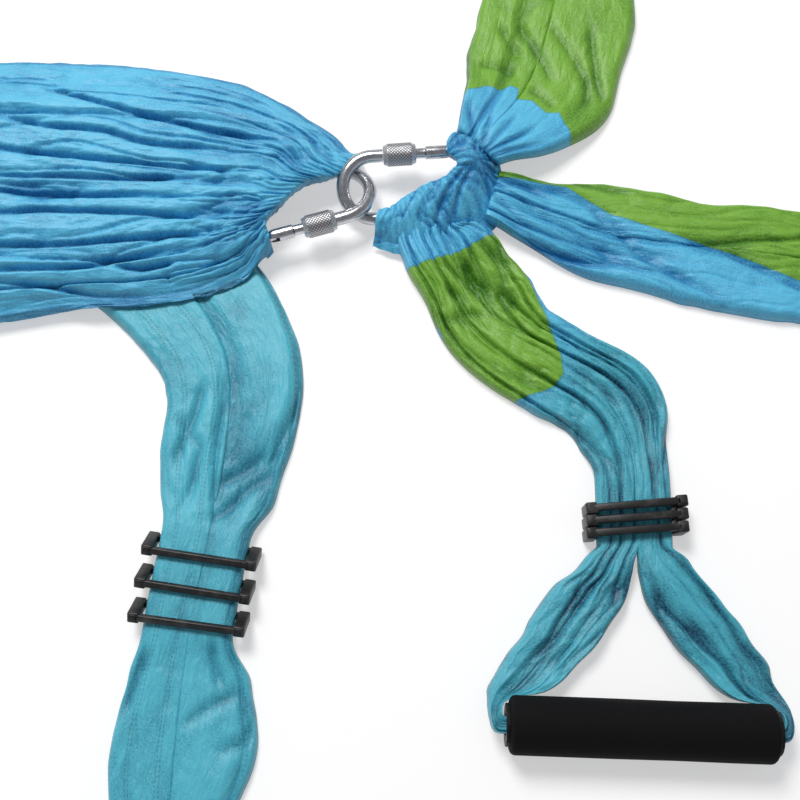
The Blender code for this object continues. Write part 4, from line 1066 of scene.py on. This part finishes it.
def gathered_patch(edges, points_per_gap, row_counts, ruffle_pitch, seed):
    """A ruffled patch between control rows: rolled under at its first edge, down at its last."""
    spread = [smooth_rows(np.array(edge) / 1000, [points_per_gap] * (len(edge) - 1)) for edge in edges]
    first, second = spread[0], spread[1]
    inward = first - second
    inward[:, 2] = 0
    inward /= np.linalg.norm(inward, axis=1)[:, None] + 1e-9
    tucked = [first - inward * reach - np.array([0, 0, drop])
              for reach, drop in ((0.0050, 0.0125), (0.0006, 0.0095), (-0.0012, 0.0040))]
    rows = smooth_rows(np.array(tucked + spread).reshape(len(tucked) + len(spread), -1), row_counts)
    grid = rows.reshape(len(rows), -1, 3)
    steps = np.linalg.norm(np.diff(first[:, :2], axis=0), axis=1)
    length = np.concatenate([[0], np.cumsum(steps)])[None, :]
    row_steps = np.linalg.norm(np.diff(grid, axis=0), axis=2).mean(axis=1)
    out = np.concatenate([[0], np.cumsum(row_steps)])[:, None]
    sway = (value_noise(length / 0.009, out / 0.012, seed) - 0.5) * 2.6
    ruffles = 0.5 + 0.5 * np.cos(2 * np.pi * length / ruffle_pitch + sway * 2.2)
    creases = fold_backs(length + out * 0.3, out, seed + 3, ruffle_pitch * 1.5, 0.018)
    backs = np.clip(0.32 * ruffles ** 0.6 + 0.68 * creases, 0, 1)
    return grid, backs, length * np.ones_like(out), out * np.ones_like(length)


grid, backs, lengthwise, outward = gathered_patch((CASING_INNER, CASING_CREST, CASING_OUTER), 23,
                                                  [4, 4, 6, 16, 26], 0.0042, 60)
grid[:, :, 2] += (backs - 0.5) * 0.0030
grid[:, :, 0] += (value_noise(lengthwise / 0.003, outward / 0.02, 71) - 0.5) * 0.0012
grid[:, :, 2] = np.maximum(grid[:, :, 2], CLEAR_OF_FLOOR)
# Painted shade: the casing's colour darkens in the bottoms of its ruffles and along the pinch creases.
grid, fold = pressed(grid, 0.05 + 0.95 * backs ** 1.2, PINCH_CREASES, depth=0.0028, width=0.0016)
strap_casing = cloth_mesh("strap_casing_cloth", grid, np.dstack([lengthwise, outward]), {"fold": fold},
                          closed=False)
sky_nylon = nylon("sky_blue_nylon_cloth")
strap_casing.data.materials.append(sky_nylon)
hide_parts("strap_casing")
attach(strap_casing, "straps")

# Hammock cloth: one long piece of sky blue nylon, gathered in fine ruffles on link A's far bend.
# It fans out in deep lengthwise folds, and the rest of its length lies folded in a low pile. The
# rows run outwards from the gather, each from the cloth's near edge to its far one.
CLOTH_ROWS = (
    ((-82.5, 98.5, 28.5), (-84.8, 108.6, 29.5), (-76.3, 121.7, 27), (-60.5, 137.5, 26),
     (-42.0, 144.8, 22), (-28.4, 159.8, 17)),
    ((-88.0, 92.5, 22), (-93.9, 101.9, 29.5), (-87.0, 120.3, 29), (-73.0, 137.5, 29),
     (-57.4, 152.9, 26), (-35.2, 162.7, 16)),
    ((-98.5, 80.0, 13), (-107.1, 95.7, 28), (-100.6, 121.4, 30), (-87.5, 144.9, 30),
     (-72.3, 168.0, 26), (-54.0, 180.8, 13)),
    ((-121.0, 68.5, 12), (-130.6, 90.3, 25), (-128.9, 121.4, 29), (-123.9, 150.4, 30),
     (-118.9, 182.2, 27), (-103.0, 210.4, 12)),
    ((-159.8, 61.0, 14), (-170.7, 85.7, 26), (-172.9, 120.7, 29), (-173.1, 153.9, 29),
     (-174.0, 189.4, 27), (-169.0, 224.0, 12)),
    ((-213.9, 58.5, 13), (-222.6, 82.9, 28), (-225.5, 118.4, 30), (-228.4, 152.9, 30),
     (-231.6, 191.8, 28), (-234.2, 228.0, 12)),
    ((-300, 44, 14), (-305, 80, 31), (-308, 118, 33), (-310, 155, 33), (-312, 193, 31), (-314, 228, 13)),
    ((-380, 37, 16), (-384, 76, 41), (-386, 118, 44), (-388, 157, 44), (-390, 196, 41), (-392, 232, 16)),
    ((-460, 34, 20), (-463, 74, 57), (-465, 118, 60), (-466, 158, 60), (-467, 198, 57), (-468, 234, 20)),
    ((-550, 33, 22), (-552, 74, 59), (-553, 118, 62), (-554, 158, 62), (-555, 198, 59), (-556, 235, 22)),
    ((-640, 33, 22), (-642, 74, 57), (-643, 118, 60), (-644, 158, 60), (-643, 198, 57), (-642, 235, 22)),
    ((-692, 35, 18), (-697, 74, 44), (-699, 118, 47), (-699, 158, 47), (-697, 198, 44), (-692, 233, 18)),
    ((-703, 38, 6), (-709, 76, 12), (-711, 118, 13), (-711, 158, 13), (-709, 196, 12), (-703, 230, 6)),
    ((-700, 40, 1.5), (-706, 78, 1.5), (-708, 118, 1.5), (-708, 158, 1.5), (-706, 194, 1.5),
     (-700, 228, 1.5)))
CLOTH_CREASES = (
    ((-230, 203), (-206.2, 196.1), (-168.1, 183.9), (-123.3, 172.6), (-86.7, 166.9), (-42, 161.5)),
    ((-262, 182), (-226.3, 174.0), (-191.0, 171.1), (-164.3, 162.7), (-122.7, 157.8), (-80, 149)),
    ((-270, 160), (-233.7, 155.0), (-195.3, 151.5), (-151.3, 146.6), (-122.0, 143.8), (-84, 138)),
    ((-270, 139), (-238.6, 139.0), (-216.5, 139.0), (-165.4, 137.0), (-136.5, 137), (-90, 131)),
    ((-270, 130), (-240.7, 128), (-222.8, 128), (-189.3, 126), (-162.2, 126.0), (-120.4, 124)),
    ((-262, 112), (-227.8, 115), (-197.6, 115), (-164.3, 114), (-129.5, 112), (-98, 113)),
    ((-270, 93), (-235.2, 92.8), (-205.5, 93.5), (-168.4, 96.8), (-127.6, 101.5), (-98, 105)),
    ((-262, 76), (-227.1, 78.2), (-197.6, 79.5), (-176.3, 83.5), (-148.1, 89.5), (-112, 97)),
    ((-177.9, 80.2), (-161.7, 78.9), (-147.7, 81.5), (-139.8, 83.5)),
    ((-262, 70), (-220.8, 68.4), (-188.7, 63), (-153.8, 63), (-126.0, 70), (-98, 82)))
# Steps between the rows, of which the first three tuck the gather under
CLOTH_STEPS = [4, 4, 5, 10, 16, 22, 24, 28, 22, 18, 16, 16, 16, 12, 6, 4]
CLOTH_POINTS_PER_GAP = 55
CLOTH_CUT_WIDTH = 0.200
EDGE_POINTS = 20
RUFFLE_DEPTH = 0.0034
LONG_DEPTH = 0.0050
MIDDLE_DEPTH = 0.0034
SMALL_DEPTH = 0.0010
FAN_DEPTH = 0.0030
CREASE_DEPTH = 0.0062
LAYER_DEPTH = 0.0100
STRAP_BENEATH = 0.0118
grid, backs, _, outward = gathered_patch(CLOTH_ROWS, CLOTH_POINTS_PER_GAP, CLOTH_STEPS, 0.0036, 160)
rows_out, points_across = grid.shape[:2]
share = np.linspace(0, 1, points_across)[None, :] * np.ones((rows_out, 1))
spread_width = share * CLOTH_CUT_WIDTH
edge_fade = ease(np.minimum(share, 1 - share) * 16)
placed = crease_depths(grid[:, :, :2].reshape(-1, 2), CLOTH_CREASES, 0.0018).reshape(rows_out, points_across)
placed_share = ease((outward - 0.010) / 0.050)

# The ruffles of the gather reach out raggedly, fan into fine pleats and then into broad folds
ragged = value_noise(spread_width / 0.011, outward / 0.09, 690)
near_gather = 1 - ease((outward - 0.014 - 0.030 * ragged) / 0.030)
away = 1 - near_gather
fanned = ease((outward - 0.008) / 0.020) * (1 - ease((outward - 0.035 - 0.065 * ragged) / 0.060))
fan_backs = fold_backs(share * 0.150, outward, 722, 0.0052, 0.048)
long_backs = np.clip(fold_backs(spread_width, outward, 700, 0.0230, 0.170) * 1.35, 0, 1)
middle_backs = np.clip(fold_backs(spread_width, outward, 740, 0.0105, 0.070) * 1.25, 0, 1)
small_backs = fold_backs(spread_width + outward * 0.6, outward, 780, 0.0080, 0.016)
grid[:, :, 2] += near_gather * (backs - 0.5) * RUFFLE_DEPTH
grid[:, :, 2] += away * edge_fade * (LONG_DEPTH * (long_backs - 0.8) + MIDDLE_DEPTH * (middle_backs - 0.8)
                                     + SMALL_DEPTH * (small_backs - 0.8))
grid[:, :, 2] -= fanned * edge_fade * FAN_DEPTH * (1 - fan_backs)
grid[:, :, 2] -= edge_fade * placed * CREASE_DEPTH * placed_share

# On the pile the folds run across, where the layers turn back on each other
piled = ease((outward - 0.330) / 0.120) * (1 - ease((outward - 0.640) / 0.040))
bent_layers = outward + 0.025 * value_noise(spread_width / 0.06, outward / 0.3, 850)
layers = fold_backs(bent_layers, spread_width, 860, 0.038, 0.180)
grid[:, :, 2] += piled * edge_fade * LAYER_DEPTH * (layers - 0.85)
# Painted shade: the fold mark darkens the colour in the bottoms of the gather's ruffles, of the folds, of the
# fanned pleats and of the listed creases, and between the pile's turned-back layers.
body_backs = 0.50 * long_backs + 0.33 * middle_backs + 0.17 * small_backs
body_backs = body_backs * (1 - 0.6 * piled * (1 - layers))
fold = (near_gather * backs + away * body_backs) * (1 - 0.75 * fanned * (1 - fan_backs))
fold = 0.20 + 0.80 * np.clip(fold * 1.15, 0, 1) ** 1.2 * (1 - 0.80 * placed * placed_share)

# The cloth's long edges hang to the floor, or lie on the strap that runs beneath
strap_line = on_route(long_loop.route, np.linspace(0.55, 0.90, 90))[0]
sides = []
for column, beside in ((0, 1), (-1, -2)):
    edge = grid[:, column, :]
    outwards = edge[:, :2] - grid[:, beside, :2]
    outwards /= np.linalg.norm(outwards, axis=1)[:, None] + 1e-9
    to_strap = np.min(np.linalg.norm(edge[:, None, :2] - strap_line[None], axis=2), axis=1)
    rests = CLEAR_OF_FLOOR + STRAP_BENEATH * (1 - ease((to_strap - 0.046) / 0.012))
    drop = []
    for k in range(1, EDGE_POINTS + 1):
        t = k / EDGE_POINTS
        ripple = wander(outward[:, 0], 0.012, k * 0.7, 900 + column) * 0.0026
        ripple += 0.0042 * abs(math.sin(t * 9.4)) * ease((outward[:, 0] - 0.300) / 0.120)
        bulge = 0.0032 * math.sin(math.pi * min(t * 1.15, 1.0)) + ripple * math.sin(math.pi * t)
        height = edge[:, 2] + (np.minimum(rests, edge[:, 2]) - edge[:, 2]) * ease(t)
        drop.append(np.column_stack([edge[:, :2] + outwards * bulge[:, None], height]))
    sides.append(np.array(drop).transpose(1, 0, 2))
grid = np.concatenate([sides[0][:, ::-1], grid, sides[1]], axis=1)
grid[:, :, 2] = np.maximum(grid[:, :, 2], CLEAR_OF_FLOOR)
# The hanging edges carry an even, middling painted shade.
lip = np.full((rows_out, EDGE_POINTS), 0.55)
fold = np.concatenate([lip, fold, lip], axis=1)
hem = 0.001 * np.arange(EDGE_POINTS)[None, :] * np.ones((rows_out, 1))
cut_across = np.concatenate([hem - 0.020, spread_width, hem + 0.201], axis=1)
cut_along = outward[:, :1] * np.ones((1, cut_across.shape[1]))
cloth = cloth_mesh("hammock_nylon_cloth", grid, np.dstack([cut_across, cut_along]), {"fold": fold},
                   closed=False)
cloth.data.materials.append(sky_nylon)
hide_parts("hammock_cloth", "hammock_casing")
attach(cloth, "hammock")
